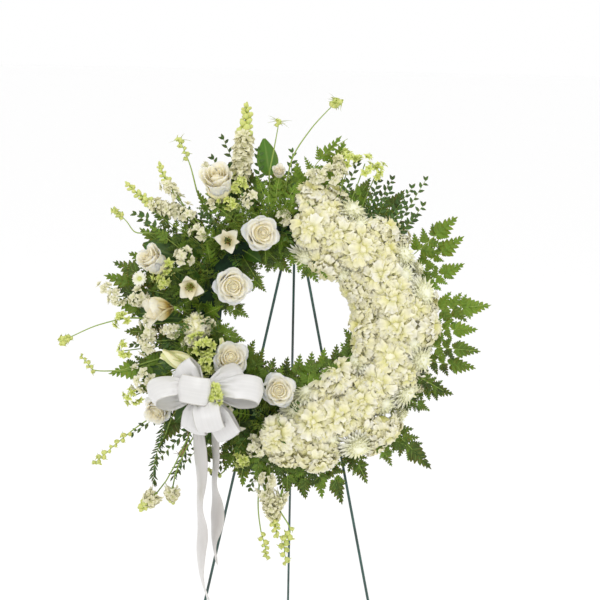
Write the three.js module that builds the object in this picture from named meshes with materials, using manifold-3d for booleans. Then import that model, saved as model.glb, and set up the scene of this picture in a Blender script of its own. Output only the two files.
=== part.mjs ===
// A standing funeral wreath: a ring of wet floral foam in a plastic tray, dressed with roses,
// alstroemerias, a crescent of carnations and cushion mums, stock, fern and a satin bow, hung on
// a folding wire easel. Units are millimetres, +Z is up and the wreath faces -Y.

import * as THREE from 'three';
import { mergeVertices } from 'three/addons/utils/BufferGeometryUtils.js';
import Module from 'manifold-3d';

const wasm = await Module();
wasm.setup();

// Driving dimensions.
const GAP = 0.3; // clearance between pieces that touch
const APEX_HEIGHT = 1180; // where the easel's legs meet, above the floor
const FRONT_FOOT_X = 257; // half the spread of the front feet
const FRONT_FOOT_Y = -260;
const BACK_FOOT_Y = 330;
const LEG_RADIUS = 3; // 6 mm painted wire
const LEG_TOP_OFFSET = 6; // each front leg's top, beside the easel's middle
const CENTRE_BELOW_APEX = 227; // ring centre below the apex, along the easel's front plane
const CENTRE_RIGHT_OF_APEX = 12;
const RING_OUTER = 254; // a 20-inch ring
const RING_INNER = 170;
const RING_MIDDLE = 213; // middle circle that every stem points at
const RING_CORE = 38; // that circle's height over the easel's front plane
const RING_SIDES = 40;
const TRAY_WALL = 3;
const TRAY_BACK = LEG_RADIUS + GAP;
const TRAY_RIM = 20;
const FOAM_TOP = 62;
const STEM_RADIUS = 2.5;
const STEM_END = 12; // how far from the middle circle a stem stops
const STEM_STEPS = 7;
const HOLE_CLEARANCE = 0.9; // at the corners of a six-sided hole
const RIBBON_WIDTH = 57; // number 16 satin ribbon
const RIBBON_THICKNESS = 1.2;
const SLAB = 3000; // larger than the whole easel, for cuts by a plane

const LEAN = Math.atan2(-FRONT_FOOT_Y, APEX_HEIGHT);
const APEX_ALONG_PLANE = Math.hypot(FRONT_FOOT_Y, APEX_HEIGHT);
const UP = new THREE.Vector3(0, 1, 0);

const paintedSteel = { color: 0x24463c, roughness: 0.45, metalness: 0.3 };
const wetFoam = { color: 0x2f5a36, roughness: 0.95, metalness: 0 };
const trayPlastic = { color: 0x2b3d2c, roughness: 0.5, metalness: 0 };
const vinyl = { color: 0x1d2422, roughness: 0.6, metalness: 0 };
const rosePetal = { color: 0xf3ecd6, roughness: 0.7, metalness: 0 };
const creamPetal = { color: 0xeee8cf, roughness: 0.75, metalness: 0 };
const trumpetPetal = { color: 0xf0e6c4, roughness: 0.6, metalness: 0 };
const leafGreen = { color: 0x3f6426, roughness: 0.6, metalness: 0 };
const limeBud = { color: 0x9bab3f, roughness: 0.7, metalness: 0 };
const satin = { color: 0xf2f1ee, roughness: 0.35, metalness: 0 };
const pickWood = { color: 0x4f6b3a, roughness: 0.8, metalness: 0 };

const easel = new THREE.Group();
const wreath = new THREE.Group();

// The wreath's own frame: u to the right, v up the easel's front plane, w out towards the viewer.
wreath.rotation.x = -LEAN;
wreath.position.set(
  CENTRE_RIGHT_OF_APEX,
  -CENTRE_BELOW_APEX * Math.sin(LEAN),
  APEX_HEIGHT - CENTRE_BELOW_APEX * Math.cos(LEAN),
);

function at(u, v, w) {
  return new THREE.Vector3(u, -w, v);
}

function onRing(degrees, r, w) {
  const angle = THREE.MathUtils.degToRad(degrees);
  return at(r * Math.cos(angle), r * Math.sin(angle), w);
}

// Direction out of the foam at a ring angle, turned by tilt from straight out to away from the hole.
function outOfFoam(degrees, tilt) {
  const turn = THREE.MathUtils.degToRad(tilt);
  return onRing(degrees, Math.sin(turn), Math.cos(turn));
}

function add(parent, name, geometry, look) {
  const mesh = new THREE.Mesh(geometry, new THREE.MeshStandardMaterial(look));
  mesh.name = name;
  parent.add(mesh);
  return mesh;
}

// A closed geometry as a solid: vertices welded and triangles of no area left out.
function toSolid(geometry) {
  const bare = geometry.clone();
  bare.deleteAttribute('normal');
  bare.deleteAttribute('uv');
  const welded = mergeVertices(bare, 1e-3);
  const triangles = [];
  for (let i = 0; i < welded.index.count; i += 3) {
    const [a, b, c] = [0, 1, 2].map((k) => welded.index.getX(i + k));
    if (a !== b && b !== c && c !== a) triangles.push(a, b, c);
  }
  const vertProperties = new Float32Array(welded.attributes.position.array);
  const triVerts = new Uint32Array(triangles);
  return new wasm.Manifold(new wasm.Mesh({ numProp: 3, vertProperties, triVerts }));
}

function toGeometry(solid) {
  const mesh = solid.getMesh();
  const geometry = new THREE.BufferGeometry();
  geometry.setAttribute('position', new THREE.BufferAttribute(mesh.vertProperties, 3));
  geometry.setIndex(new THREE.BufferAttribute(mesh.triVerts, 1));
  geometry.computeVertexNormals();
  return geometry;
}

// Turns a geometry that was made along +Y to a direction, and moves its base to an origin.
function stand(geometry, origin, direction) {
  const turn = new THREE.Quaternion().setFromUnitVectors(UP, direction.clone().normalize());
  return geometry.applyQuaternion(turn).translate(origin.x, origin.y, origin.z);
}

function rod(from, to, radius, sides = 10) {
  const along = to.clone().sub(from);
  const length = along.length();
  const cylinder = new THREE.CylinderGeometry(radius, radius, length, sides);
  return stand(cylinder.translate(0, length / 2, 0), from, along);
}

// A solid turned around +Y; the profile is a list of [radius, height] from bottom to top.
function turned(profile, sides, scale = 1) {
  const points = profile.map(([r, y]) => new THREE.Vector2(r * scale, y * scale));
  return new THREE.LatheGeometry(points, sides);
}

function wire(path, radius, steps, sides = 6) {
  const section = new THREE.Shape();
  for (let i = 0; i < sides; i += 1) {
    const angle = (2 * Math.PI * i) / sides;
    const point = [radius * Math.cos(angle), radius * Math.sin(angle)];
    if (i === 0) section.moveTo(...point);
    else section.lineTo(...point);
  }
  return new THREE.ExtrudeGeometry(section, { steps, bevelEnabled: false, extrudePath: path });
}

// A flat band of a ribbon: at each step a centre, a unit vector across it and half its width.
function band(steps, thickness) {
  const positions = [];
  steps.forEach(({ centre, across, half }, i) => {
    const before = steps[Math.max(i - 1, 0)].centre;
    const after = steps[Math.min(i + 1, steps.length - 1)].centre;
    const tangent = after.clone().sub(before).normalize();
    const normal = tangent.cross(across).normalize().multiplyScalar(thickness / 2);
    const side = across.clone().multiplyScalar(half);
    for (const [s, n] of [[1, 1], [-1, 1], [-1, -1], [1, -1]]) {
      const corner = centre.clone().addScaledVector(side, s).addScaledVector(normal, n);
      positions.push(corner.x, corner.y, corner.z);
    }
  });
  const last = 4 * (steps.length - 1);
  const index = [0, 3, 2, 0, 2, 1, last, last + 1, last + 2, last, last + 2, last + 3];
  for (let i = 0; i < last; i += 4) {
    for (let k = 0; k < 4; k += 1) {
      const [a, b] = [i + k, i + ((k + 1) % 4)];
      index.push(a, b, b + 4, a, b + 4, a + 4);
    }
  }
  const geometry = new THREE.BufferGeometry();
  geometry.setAttribute('position', new THREE.Float32BufferAttribute(positions, 3));
  geometry.setIndex(index);
  geometry.computeVertexNormals();
  return geometry;
}

// ---------------------------------------------------------------------------------------------
// Easel: two front legs and a hinged back leg of wire, a folded plate that joins them, two pegs
// that the ring stands on and a vinyl cap on each foot.

const HINGE_BACK = 16; // hinge pin behind the front plane
const PIN_RADIUS = 2.5;
const EYE_RADIUS = 6.5;
const EYE_HALF = 8.5;
const EAR_THICKNESS = 4;
const PLATE_THICKNESS = 3.5;
const PEG_END = 32;
const CAP_RADIUS = 5.5;
const CAP_LENGTH = 42;
const CAP_FLOOR = 5; // vinyl under the end of the wire

const planeOut = at(0, 0, 1).applyEuler(wreath.rotation); // out of the front plane, in world
const apex = new THREE.Vector3(0, 0, APEX_HEIGHT);
const hinge = apex.clone().addScaledVector(planeOut, -HINGE_BACK);

// One leg from its top to the floor, shortened to stay clear of the floor of its cap.
function legEnds(top, foot) {
  const up = top.clone().sub(foot).normalize();
  return { top, foot, up, end: foot.clone().addScaledVector(up, CAP_FLOOR / up.z) };
}

function footCap({ foot, up, end }) {
  const sleeve = rod(
    foot.clone().addScaledVector(up, -CAP_RADIUS),
    foot.clone().addScaledVector(up, CAP_LENGTH),
    CAP_RADIUS,
    16,
  );
  const hole = rod(
    end.clone().addScaledVector(up, -GAP),
    end.clone().addScaledVector(up, CAP_LENGTH + CAP_RADIUS),
    LEG_RADIUS + 2 * GAP,
    10,
  );
  const ground = new THREE.BoxGeometry(SLAB, SLAB, SLAB).translate(0, 0, -SLAB / 2);
  return toGeometry(toSolid(sleeve).subtract(toSolid(hole)).subtract(toSolid(ground)));
}

const frontLegs = [-1, 1].map((side) => legEnds(
  new THREE.Vector3(side * LEG_TOP_OFFSET, 0, APEX_HEIGHT),
  new THREE.Vector3(side * FRONT_FOOT_X, FRONT_FOOT_Y, 0),
));
const backLeg = legEnds(hinge, new THREE.Vector3(0, BACK_FOOT_Y, 0));

['left', 'right'].forEach((side, i) => {
  add(easel, `front_${side}_leg`, rod(frontLegs[i].end, frontLegs[i].top, LEG_RADIUS), paintedSteel);
  add(easel, `front_${side}_foot_cap`, footCap(frontLegs[i]), vinyl);
});
add(easel, 'back_foot_cap', footCap(backLeg), vinyl);

function alongX(radius, half, centre, sides) {
  const from = centre.clone().add(new THREE.Vector3(-half, 0, 0));
  return rod(from, centre.clone().add(new THREE.Vector3(half, 0, 0)), radius, sides);
}

const eye = toSolid(alongX(EYE_RADIUS, EYE_HALF, hinge, 20))
  .add(toSolid(rod(backLeg.end, hinge, LEG_RADIUS)))
  .subtract(toSolid(alongX(PIN_RADIUS + GAP, 2 * EYE_HALF, hinge, 12)));
add(easel, 'back_leg', toGeometry(eye), paintedSteel);

const pinHalf = EYE_HALF + GAP + EAR_THICKNESS + 3;
add(easel, 'hinge_pin', alongX(PIN_RADIUS, pinHalf, hinge, 12), paintedSteel);

// The plate lies on the backs of the front legs, and two ears on it carry the pin.
function apexPlate() {
  const origin = at(-CENTRE_RIGHT_OF_APEX, CENTRE_BELOW_APEX, 0);
  const front = -LEG_RADIUS - GAP;
  const plate = new THREE.BoxGeometry(46, PLATE_THICKNESS, 42);
  plate.translate(origin.x, -(front - PLATE_THICKNESS / 2), origin.z - 8);
  let solid = toSolid(plate);
  for (const side of [-1, 1]) {
    const outline = new THREE.Shape();
    outline.moveTo(-front + PLATE_THICKNESS / 2, -10);
    outline.lineTo(HINGE_BACK, -9);
    outline.absarc(HINGE_BACK, 0, 9, -Math.PI / 2, Math.PI / 2, false);
    outline.lineTo(-front + PLATE_THICKNESS / 2, 10);
    const depth = { depth: EAR_THICKNESS, bevelEnabled: false, curveSegments: 8 };
    const ear = new THREE.ExtrudeGeometry(outline, depth);
    const inner = EYE_HALF + GAP;
    const basis = new THREE.Matrix4().makeBasis(
      new THREE.Vector3(0, 1, 0), new THREE.Vector3(0, 0, 1), new THREE.Vector3(1, 0, 0),
    );
    ear.applyMatrix4(basis);
    ear.translate(origin.x + (side > 0 ? inner : -inner - EAR_THICKNESS), origin.y, origin.z);
    solid = solid.add(toSolid(ear));
  }
  const pinCentre = at(-CENTRE_RIGHT_OF_APEX, CENTRE_BELOW_APEX, -HINGE_BACK);
  return solid.subtract(toSolid(alongX(PIN_RADIUS + GAP, SLAB / 2, pinCentre, 12)));
}
add(wreath, 'apex_bracket', toGeometry(apexPlate()), paintedSteel);

// A peg stands on the front of each leg, where the leg passes just outside the ring.
function pegPoint(side) {
  const top = new THREE.Vector2(side * LEG_TOP_OFFSET - CENTRE_RIGHT_OF_APEX, CENTRE_BELOW_APEX);
  const foot = new THREE.Vector2(
    side * FRONT_FOOT_X - CENTRE_RIGHT_OF_APEX, CENTRE_BELOW_APEX - APEX_ALONG_PLANE,
  );
  const along = foot.clone().sub(top).normalize();
  const reach = RING_OUTER + LEG_RADIUS + GAP;
  const middle = top.dot(along);
  const distance = -middle + Math.sqrt(middle ** 2 - top.lengthSq() + reach ** 2);
  return top.addScaledVector(along, distance);
}

['left', 'right'].forEach((side, i) => {
  const point = pegPoint(i === 0 ? -1 : 1);
  const peg = rod(at(point.x, point.y, TRAY_BACK), at(point.x, point.y, PEG_END), LEG_RADIUS);
  add(wreath, `${side}_peg`, peg, paintedSteel);
});

// ---------------------------------------------------------------------------------------------
// Flowers. Every stem runs into the foam towards the ring's middle circle, and is remembered so
// that the foam gets a hole for it.

const stems = [];

function stemSolid(points, radius) {
  return toSolid(wire(new THREE.CatmullRomCurve3(points), radius, points.length - 1));
}

// The points of a stem from inside a flower's base to its end in the foam.
function stemPoints(base, face, degrees, tilt) {
  const out = outOfFoam(degrees, tilt);
  const end = onRing(degrees, RING_MIDDLE, RING_CORE).addScaledVector(out, STEM_END);
  const length = base.distanceTo(end);
  const curve = new THREE.CubicBezierCurve3(
    base,
    base.clone().addScaledVector(face, -0.3 * length),
    end.clone().addScaledVector(out, 0.45 * length),
    end,
  );
  return curve.getSpacedPoints(STEM_STEPS);
}

// A stem through points that are equally far apart, and a wider, longer copy of its last stretch.
function stemWithHole(points, radius = STEM_RADIUS) {
  const [beforeEnd, end] = points.slice(-2);
  const beyond = end.clone().sub(beforeEnd).normalize().multiplyScalar(2 * GAP).add(end);
  stems.push(stemSolid([...points.slice(-4, -1), beyond], radius + HOLE_CLEARANCE));
  return stemSolid(points, radius);
}

const ROSE = [[0, 0], [9, 1], [24, 10], [36, 28], [41, 48], [36, 66], [20, 76], [0, 78]];
const TRUMPET = [[0, 0], [6, 1], [10, 20], [16, 45], [29, 62], [27, 66], [10, 57], [0, 52]];
const BUD = [[0, 0], [8, 2], [17, 22], [20, 45], [14, 70], [5, 84], [0, 85]];
const SPIKE = [[0, 0], [16, 6], [26, 36], [25, 90], [17, 140], [7, 166], [0, 170]];
const SPINDLE = [[0, 0], [7, 5], [13, 22], [9, 42], [0, 54]];

// A turned flower head with its middle at a place, facing a direction, on a stem into the foam.
function flower(name, look, { profile, middle, scale = 1, place, face, degrees, tilt }) {
  const facing = at(...face).normalize();
  const base = at(...place).addScaledVector(facing, -middle * scale);
  const head = toSolid(stand(turned(profile, 10, scale), base, facing));
  const start = base.clone().addScaledVector(facing, 5);
  const stem = stemWithHole(stemPoints(start, facing, degrees, tilt));
  add(wreath, name, toGeometry(head.add(stem)), look);
}

const roses = [
  { place: [-190, 308, 112], face: [-0.25, 0.35, 1], degrees: 118, tilt: 40, scale: 1.05 },
  { place: [-85, 190, 138], face: [0.15, 0, 1], degrees: 112, tilt: 2 },
  { place: [-140, 80, 138], face: [0.1, -0.1, 1], degrees: 150, tilt: -20 },
  { place: [-320, 135, 100], face: [-0.6, 0.45, 0.8], degrees: 160, tilt: 48, scale: 0.9 },
  { place: [-140, -72, 118], face: [0.1, 0.25, 1], degrees: 205, tilt: -20 },
  { place: [-38, -136, 122], face: [0.05, 0.1, 1], degrees: 250, tilt: -22, scale: 0.92 },
  { place: [-295, -185, 84], face: [-0.25, -0.5, 1], degrees: 209, tilt: 55, scale: 0.8 },
];
roses.forEach((rose, i) => {
  flower(`rose_${i + 1}`, rosePetal, { profile: ROSE, middle: 42, ...rose });
});

const trumpets = [
  { place: [-160, 175, 122], face: [-0.05, 0.1, 1], degrees: 132, tilt: 15 },
  { place: [-235, 80, 112], face: [-0.15, -0.1, 1], degrees: 167, tilt: 25 },
  { place: [-285, 25, 100], face: [-0.75, -0.35, 0.6], degrees: 176, tilt: 32 },
  { place: [-262, -85, 92], face: [-0.95, 0.25, 0.2], degrees: 193, tilt: 30, profile: BUD },
  { place: [-132, -243, 100], face: [0.12, -0.9, 0.4], degrees: 236, tilt: 35 },
];
trumpets.forEach((trumpet, i) => {
  const head = { profile: TRUMPET, middle: 45, scale: 0.9, ...trumpet };
  flower(`alstroemeria_${i + 1}`, trumpetPetal, head);
});

const spikes = [
  { place: [-128, 395, 72], face: [0.08, 1, 0.02], degrees: 106, tilt: 42, scale: 1.05 },
  { place: [-300, 262, 70], face: [-1, 0.5, 0.05], degrees: 140, tilt: 50, scale: 0.95 },
  { place: [-38, -435, 60], face: [0.22, -1, 0.1], degrees: 248, tilt: 62, scale: 0.85 },
];
spikes.forEach((spike, i) => {
  flower(`stock_spike_${i + 1}`, creamPetal, { profile: SPIKE, middle: 85, ...spike });
});

// The crescent: at each station three heads stand side by side over the ring, joined in one solid
// on one stem and cut off at the planes halfway to the next station. At the last station a rose
// takes the inner head's place.
const STATIONS = 12;
const FIRST_STATION = 84;
const STATION_STEP = -16.5;
const crossRow = [
  { tilt: -4, reach: 78, wide: 46, deep: 34 },
  { tilt: 58, reach: 71, wide: 46, deep: 30 },
  { tilt: -60, reach: 83, wide: 46, deep: 30 },
];
const lastRow = [
  { tilt: 14, reach: 78, wide: 42, deep: 34 },
  { tilt: 66, reach: 71, wide: 46, deep: 30 },
];

// Keeps what lies on the side of a plane through the ring's axis that the sign gives.
function cutAtStation(solid, degrees, sign) {
  const slab = new THREE.BoxGeometry(SLAB, SLAB, SLAB);
  slab.translate(0, 0, (SLAB / 2) * sign + sign * (GAP / 2));
  slab.rotateY(-THREE.MathUtils.degToRad(degrees));
  return solid.intersect(toSolid(slab));
}

for (let i = 0; i < STATIONS; i += 1) {
  const degrees = FIRST_STATION + STATION_STEP * i;
  const middle = onRing(degrees, RING_MIDDLE, RING_CORE);
  const heads = i === STATIONS - 1 ? lastRow : crossRow;
  const end = middle.clone().addScaledVector(outOfFoam(degrees, heads[0].tilt), STEM_END);
  let row = null;
  for (const { tilt, reach, wide, deep } of heads) {
    const out = outOfFoam(degrees, tilt);
    const centre = middle.clone().addScaledVector(out, reach);
    const ball = new THREE.SphereGeometry(1, 7, 5).scale(wide, deep, wide);
    const head = toSolid(stand(ball, centre, out));
    row = row ? row.add(head) : head.add(stemWithHole([centre, centre.clone().lerp(end, 0.5), end]));
  }
  row = cutAtStation(row, degrees - STATION_STEP / 2, -1);
  row = cutAtStation(row, degrees + STATION_STEP / 2, 1);
  const number = String(i + 1).padStart(2, '0');
  add(wreath, `crescent_row_${number}`, toGeometry(row), creamPetal);
}

// Tendrils: a thin arching stem from the foam to a spindle of buds.
const TENDRIL_RADIUS = 1.6;
const TENDRIL_STEPS = 9;
const tendrils = [
  {
    degrees: 182,
    tilt: 70,
    points: [[-300, 5, 62], [-397, 4, 62], [-440, -8, 60], [-470, -30, 58]],
    tip: [-517, -47, 56],
  },
  {
    degrees: 219,
    tilt: 75,
    points: [[-250, -190, 38], [-332, -214, 36], [-375, -256, 36], [-395, -275, 36]],
    tip: [-437, -310, 36],
  },
  {
    degrees: 98,
    tilt: 55,
    points: [[-32, 300, 74], [-24, 367, 72], [5, 420, 70], [44, 462, 68]],
    tip: [84, 493, 66],
  },
];
tendrils.forEach(({ degrees, tilt, points, tip }, i) => {
  const out = outOfFoam(degrees, tilt);
  const end = onRing(degrees, RING_MIDDLE, RING_CORE).addScaledVector(out, STEM_END);
  const entry = end.clone().addScaledVector(out, 45);
  const route = points.map((point) => at(...point)).reverse();
  const last = route[0];
  const direction = at(...tip).sub(last);
  const inside = last.clone().addScaledVector(direction.clone().normalize(), 4);
  const path = new THREE.CatmullRomCurve3([inside, ...route.slice(1), entry, end]);
  const stem = stemWithHole(path.getSpacedPoints(TENDRIL_STEPS), TENDRIL_RADIUS);
  const buds = turned(SPINDLE, 8, direction.length() / 54);
  const solid = toSolid(stand(buds, last, direction)).add(stem);
  add(wreath, `bud_tendril_${i + 1}`, toGeometry(solid), limeBud);
});

// Fern fronds: a thin blade on a rib that runs into the side of the foam above the tray's rim.
const FROND_LEVEL = 27;
const FROND_THICKNESS = 3;
const RIB_RADIUS = 1.3;
const fronds = [
  { name: 'fern_frond_right', degrees: 8, tip: [413, 53], half: 42 },
  { name: 'fern_frond_upper_right', degrees: 36, tip: [336, 240], half: 40 },
  { name: 'fern_frond_lower_right', degrees: -47, tip: [288, -300], half: 34 },
  { name: 'fern_frond_bottom', degrees: -77, tip: [100, -383], half: 32 },
  { name: 'fern_frond_left', degrees: 170, tip: [-415, 100], half: 36 },
];
fronds.forEach(({ name, degrees, tip, half }) => {
  const root = onRing(degrees, RING_OUTER - 24, FROND_LEVEL);
  const base = onRing(degrees, RING_OUTER + 6, FROND_LEVEL);
  const along = at(tip[0], tip[1], FROND_LEVEL).sub(base);
  const length = along.length();
  const blade = new THREE.Shape();
  blade.moveTo(0, -1.6);
  blade.quadraticCurveTo(0.25 * length, -1.6 * half, length, 0);
  blade.quadraticCurveTo(0.25 * length, 1.6 * half, 0, 1.6);
  const depth = { depth: FROND_THICKNESS, bevelEnabled: false, curveSegments: 5 };
  const plate = new THREE.ExtrudeGeometry(blade, depth).translate(0, 0, -FROND_THICKNESS / 2);
  const lengthwise = along.clone().normalize();
  const outward = at(0, 0, 1);
  const sideways = outward.clone().cross(lengthwise);
  plate.applyMatrix4(new THREE.Matrix4().makeBasis(lengthwise, sideways, outward));
  plate.translate(base.x, base.y, base.z);
  const rib = [base.clone().addScaledVector(lengthwise, 30), base, root];
  add(wreath, name, toGeometry(toSolid(plate).add(stemWithHole(rib, RIB_RADIUS))), leafGreen);
});

// ---------------------------------------------------------------------------------------------
// Bow: a knot wired to a wooden pick, five loops around it and two tails that hang under it.

const KNOT = [-190, -135, 168];
const KNOT_RADIUS = 9;
const LOOP_START = 13; // where a loop's ends come together, from the middle of the knot
const LOOP_STEPS = 14;
const PINCH = 5; // half the width of the ribbon where it is gathered at the knot
const loops = [
  { name: 'bow_loop_left', toward: [-1, 0.03, 0], length: 125, height: 52 },
  { name: 'bow_loop_right', toward: [1, 0.12, 0], length: 112, height: 50 },
  { name: 'bow_loop_right_low', toward: [0.62, -0.78, -0.05], length: 108, height: 40 },
  { name: 'bow_loop_front', toward: [-0.35, 0.35, 0.9], length: 62, height: 46 },
  { name: 'bow_loop_low', toward: [0.05, -0.7, 0.65], length: 78, height: 40 },
];
const knotCentre = at(...KNOT);

// The loop's path is a teardrop with its point at the knot; the ribbon widens away from the knot.
loops.forEach(({ name, toward, length, height }) => {
  const along = at(...toward).normalize();
  const outward = at(0, 0, 1);
  const across = along.clone().cross(Math.abs(along.y) > 0.5 ? at(0, 1, 0) : outward).normalize();
  const rise = across.clone().cross(along).normalize();
  const steps = [];
  for (let i = 0; i <= LOOP_STEPS; i += 1) {
    const t = 0.35 + ((2 * Math.PI - 0.7) * i) / LOOP_STEPS;
    const reach = LOOP_START + (length * (1 - Math.cos(t))) / 2;
    const lift = 0.62 * height * Math.sin(t) * Math.sin(t / 2) ** 0.8;
    const spread = Math.sin(t / 2) ** 1.4;
    steps.push({
      centre: knotCentre.clone().addScaledVector(along, reach).addScaledVector(rise, lift),
      across,
      half: PINCH + (RIBBON_WIDTH / 2 - PINCH) * spread,
    });
  }
  add(wreath, name, band(steps, RIBBON_THICKNESS), satin);
});

const PICK_DEGREES = 215;
const pickOut = outOfFoam(PICK_DEGREES, 3);
const pickEnd = onRing(PICK_DEGREES, RING_MIDDLE, RING_CORE).addScaledVector(pickOut, STEM_END);
const pickTop = knotCentre.clone().add(at(0, 0, -KNOT_RADIUS - 2 * GAP));
const pick = stemWithHole([pickTop, pickTop.clone().lerp(pickEnd, 0.5), pickEnd]);
add(wreath, 'bow_pick', toGeometry(pick), pickWood);
add(wreath, 'bow_knot', new THREE.SphereGeometry(KNOT_RADIUS, 10, 6)
  .translate(knotCentre.x, knotCentre.y, knotCentre.z), satin);

// A tail falls straight down in the world, so it comes nearer to the leaning plane on its way.
const TAIL_STEPS = 16;
const TAIL_SWAY = 5;
const TAIL_BEHIND_KNOT = 24;
const tails = [
  { name: 'bow_tail_left', start: [-211, -152], end: [-206, -603], half: 17 },
  { name: 'bow_tail_right', start: [-171, -153], end: [-166, -524], half: 14 },
];
tails.forEach(({ name, start, end, half }) => {
  const steps = [];
  for (let i = 0; i <= TAIL_STEPS; i += 1) {
    const t = i / TAIL_STEPS;
    const u = THREE.MathUtils.lerp(start[0], end[0], t) + TAIL_SWAY * Math.sin(2.2 * Math.PI * t);
    const v = THREE.MathUtils.lerp(start[1], end[1], t);
    const w = KNOT[2] - TAIL_BEHIND_KNOT - (start[1] - v) * Math.tan(LEAN);
    const spread = THREE.MathUtils.lerp(PINCH, half, Math.min(1, 6 * t));
    steps.push({ centre: at(u, v, w), across: at(1, 0, 0), half: spread });
  }
  add(wreath, name, band(steps, RIBBON_THICKNESS), satin);
});

// ---------------------------------------------------------------------------------------------
// Ring: the tray, the foam with a hole for every stem, and two wires that tie both to the plate.

function ringSolid(outline) {
  const points = outline.map(([r, w]) => new THREE.Vector2(r, w));
  return toSolid(new THREE.LatheGeometry([...points, points[0].clone()], RING_SIDES).rotateX(Math.PI));
}

const traySection = [
  [RING_OUTER, TRAY_BACK], [RING_OUTER, TRAY_RIM], [RING_OUTER - TRAY_WALL, TRAY_RIM],
  [RING_OUTER - TRAY_WALL, TRAY_BACK + TRAY_WALL], [RING_INNER + TRAY_WALL, TRAY_BACK + TRAY_WALL],
  [RING_INNER + TRAY_WALL, TRAY_RIM], [RING_INNER, TRAY_RIM], [RING_INNER, TRAY_BACK],
];
add(wreath, 'ring_tray', toGeometry(ringSolid(traySection)), trayPlastic);

const foamOuter = RING_OUTER - TRAY_WALL - GAP;
const foamInner = RING_INNER + TRAY_WALL + GAP;
const foamBack = TRAY_BACK + TRAY_WALL + GAP;
const foamSection = [
  [foamOuter, foamBack], [foamOuter, 36], [foamOuter - 8, 52], [foamOuter - 22, FOAM_TOP],
  [foamInner + 22, FOAM_TOP], [foamInner + 8, 52], [foamInner, 36], [foamInner, foamBack],
];
const foam = stems.reduce((solid, stem) => solid.subtract(stem), ringSolid(foamSection));
add(wreath, 'foam_ring', toGeometry(foam), wetFoam);

// Each tie is an open loop of wire around the ring's section and the plate behind it.
const TIE_RADIUS = 1;
const tieBack = -(LEG_RADIUS + GAP + PLATE_THICKNESS + TIE_RADIUS + GAP);
const tieClear = TIE_RADIUS + 2;
['left', 'right'].forEach((name, i) => {
  const side = i === 0 ? -1 : 1;
  const route = [
    [16, 214, tieBack], [16, 256, tieBack], [16, RING_OUTER + tieClear, 6],
    [16, RING_OUTER + tieClear, 30], [15, RING_OUTER - 8 + tieClear, 54],
    [14, RING_OUTER - 28, FOAM_TOP + tieClear], [12, RING_INNER + 28, FOAM_TOP + tieClear],
    [11, RING_INNER + 8 - tieClear, 54], [11, RING_INNER - tieClear, 30],
    [11, RING_INNER - tieClear - 1, 6], [11, RING_INNER, tieBack], [15, 206, tieBack],
  ].map(([offset, v, w]) => at(side * offset - CENTRE_RIGHT_OF_APEX, v, w));
  const path = new THREE.CatmullRomCurve3(route, false, 'catmullrom', 0.2);
  add(wreath, `tie_wire_${name}`, wire(path, TIE_RADIUS, 30, 5), paintedSteel);
});

// The origin is under the middle of the whole object, on the floor.
const standingWreath = new THREE.Group();
standingWreath.add(easel, wreath);
standingWreath.updateMatrixWorld(true);
const box = new THREE.Box3().setFromObject(standingWreath, true);
const middle = box.getCenter(new THREE.Vector3());
standingWreath.position.set(-middle.x, -middle.y, -box.min.z);

export default standingWreath;
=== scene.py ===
# %% [markdown]
# A standing funeral wreath. The real object is a ring of wet floral foam in a plastic tray, hung on
# a folding wire easel and dressed with roses, a crescent of carnations and cushion mums, stock,
# ferns, tendrils and a satin bow. The first cell loads the measured frame: every piece below is
# placed from it, in metres, with +Z up and the wreath facing -Y.
# %% Load the frame
from collections import namedtuple

import bpy
import numpy as np
from mathutils import Matrix, Vector


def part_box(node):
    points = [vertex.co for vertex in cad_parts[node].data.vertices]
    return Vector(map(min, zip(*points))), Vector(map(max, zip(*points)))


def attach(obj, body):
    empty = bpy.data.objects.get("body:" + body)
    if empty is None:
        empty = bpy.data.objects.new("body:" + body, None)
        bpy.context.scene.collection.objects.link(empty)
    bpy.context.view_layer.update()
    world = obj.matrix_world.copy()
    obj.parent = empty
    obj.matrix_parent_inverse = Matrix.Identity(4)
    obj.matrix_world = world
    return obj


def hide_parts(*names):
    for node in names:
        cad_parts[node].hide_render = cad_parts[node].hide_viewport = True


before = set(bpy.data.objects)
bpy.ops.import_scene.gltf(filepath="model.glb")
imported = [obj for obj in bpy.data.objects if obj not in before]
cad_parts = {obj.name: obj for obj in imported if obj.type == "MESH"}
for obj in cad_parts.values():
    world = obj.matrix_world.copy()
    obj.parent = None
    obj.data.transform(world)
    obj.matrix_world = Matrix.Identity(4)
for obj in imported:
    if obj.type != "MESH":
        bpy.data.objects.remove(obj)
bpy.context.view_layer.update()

# %% [markdown]
# A florist works on the wreath lying flat, so the flowers are laid out that way too: millimetres to
# the right, up the ring and out of it, from the middle of the ring. One small function turns those
# into the leaning wreath's place in the room. The ring's tray gives the middle and the easel's
# slope gives the lean.
# %% Axes of the leaning wreath
FEET_AHEAD, TOP_UP = 260, 1180  # the front feet stand this far ahead of the easel's top and below it
LEAN = np.arctan2(FEET_AHEAD, TOP_UP)
AXES = np.array([
    [1, 0, 0],
    [0, np.sin(LEAN), np.cos(LEAN)],
    [0, -np.cos(LEAN), np.sin(LEAN)],
])
TRAY_MIDDLE_OUT = 11.65  # the middle of the tray's box, out of the plane that the ring lies in
FOAM_RADIUS, FOAM_OUT = 213, 38  # the foam's middle line: its radius and its height out of that plane
tray_low, tray_high = (np.array(corner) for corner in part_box("ring_tray"))
RING_CENTRE = (tray_low + tray_high) / 2 - TRAY_MIDDLE_OUT / 1000 * AXES[2]


def in_room(points):
    """The ring's centre plus each of a point's three distances along its own axis, in metres."""
    return RING_CENTRE + np.asarray(points, float) @ AXES / 1000


def on_ring(degrees, radius, out):
    """The point at an angle round the ring, at a radius from its middle and a height out of it."""
    turn = np.radians(degrees)
    return np.stack(np.broadcast_arrays(radius * np.cos(turn), radius * np.sin(turn), out), -1)


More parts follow.
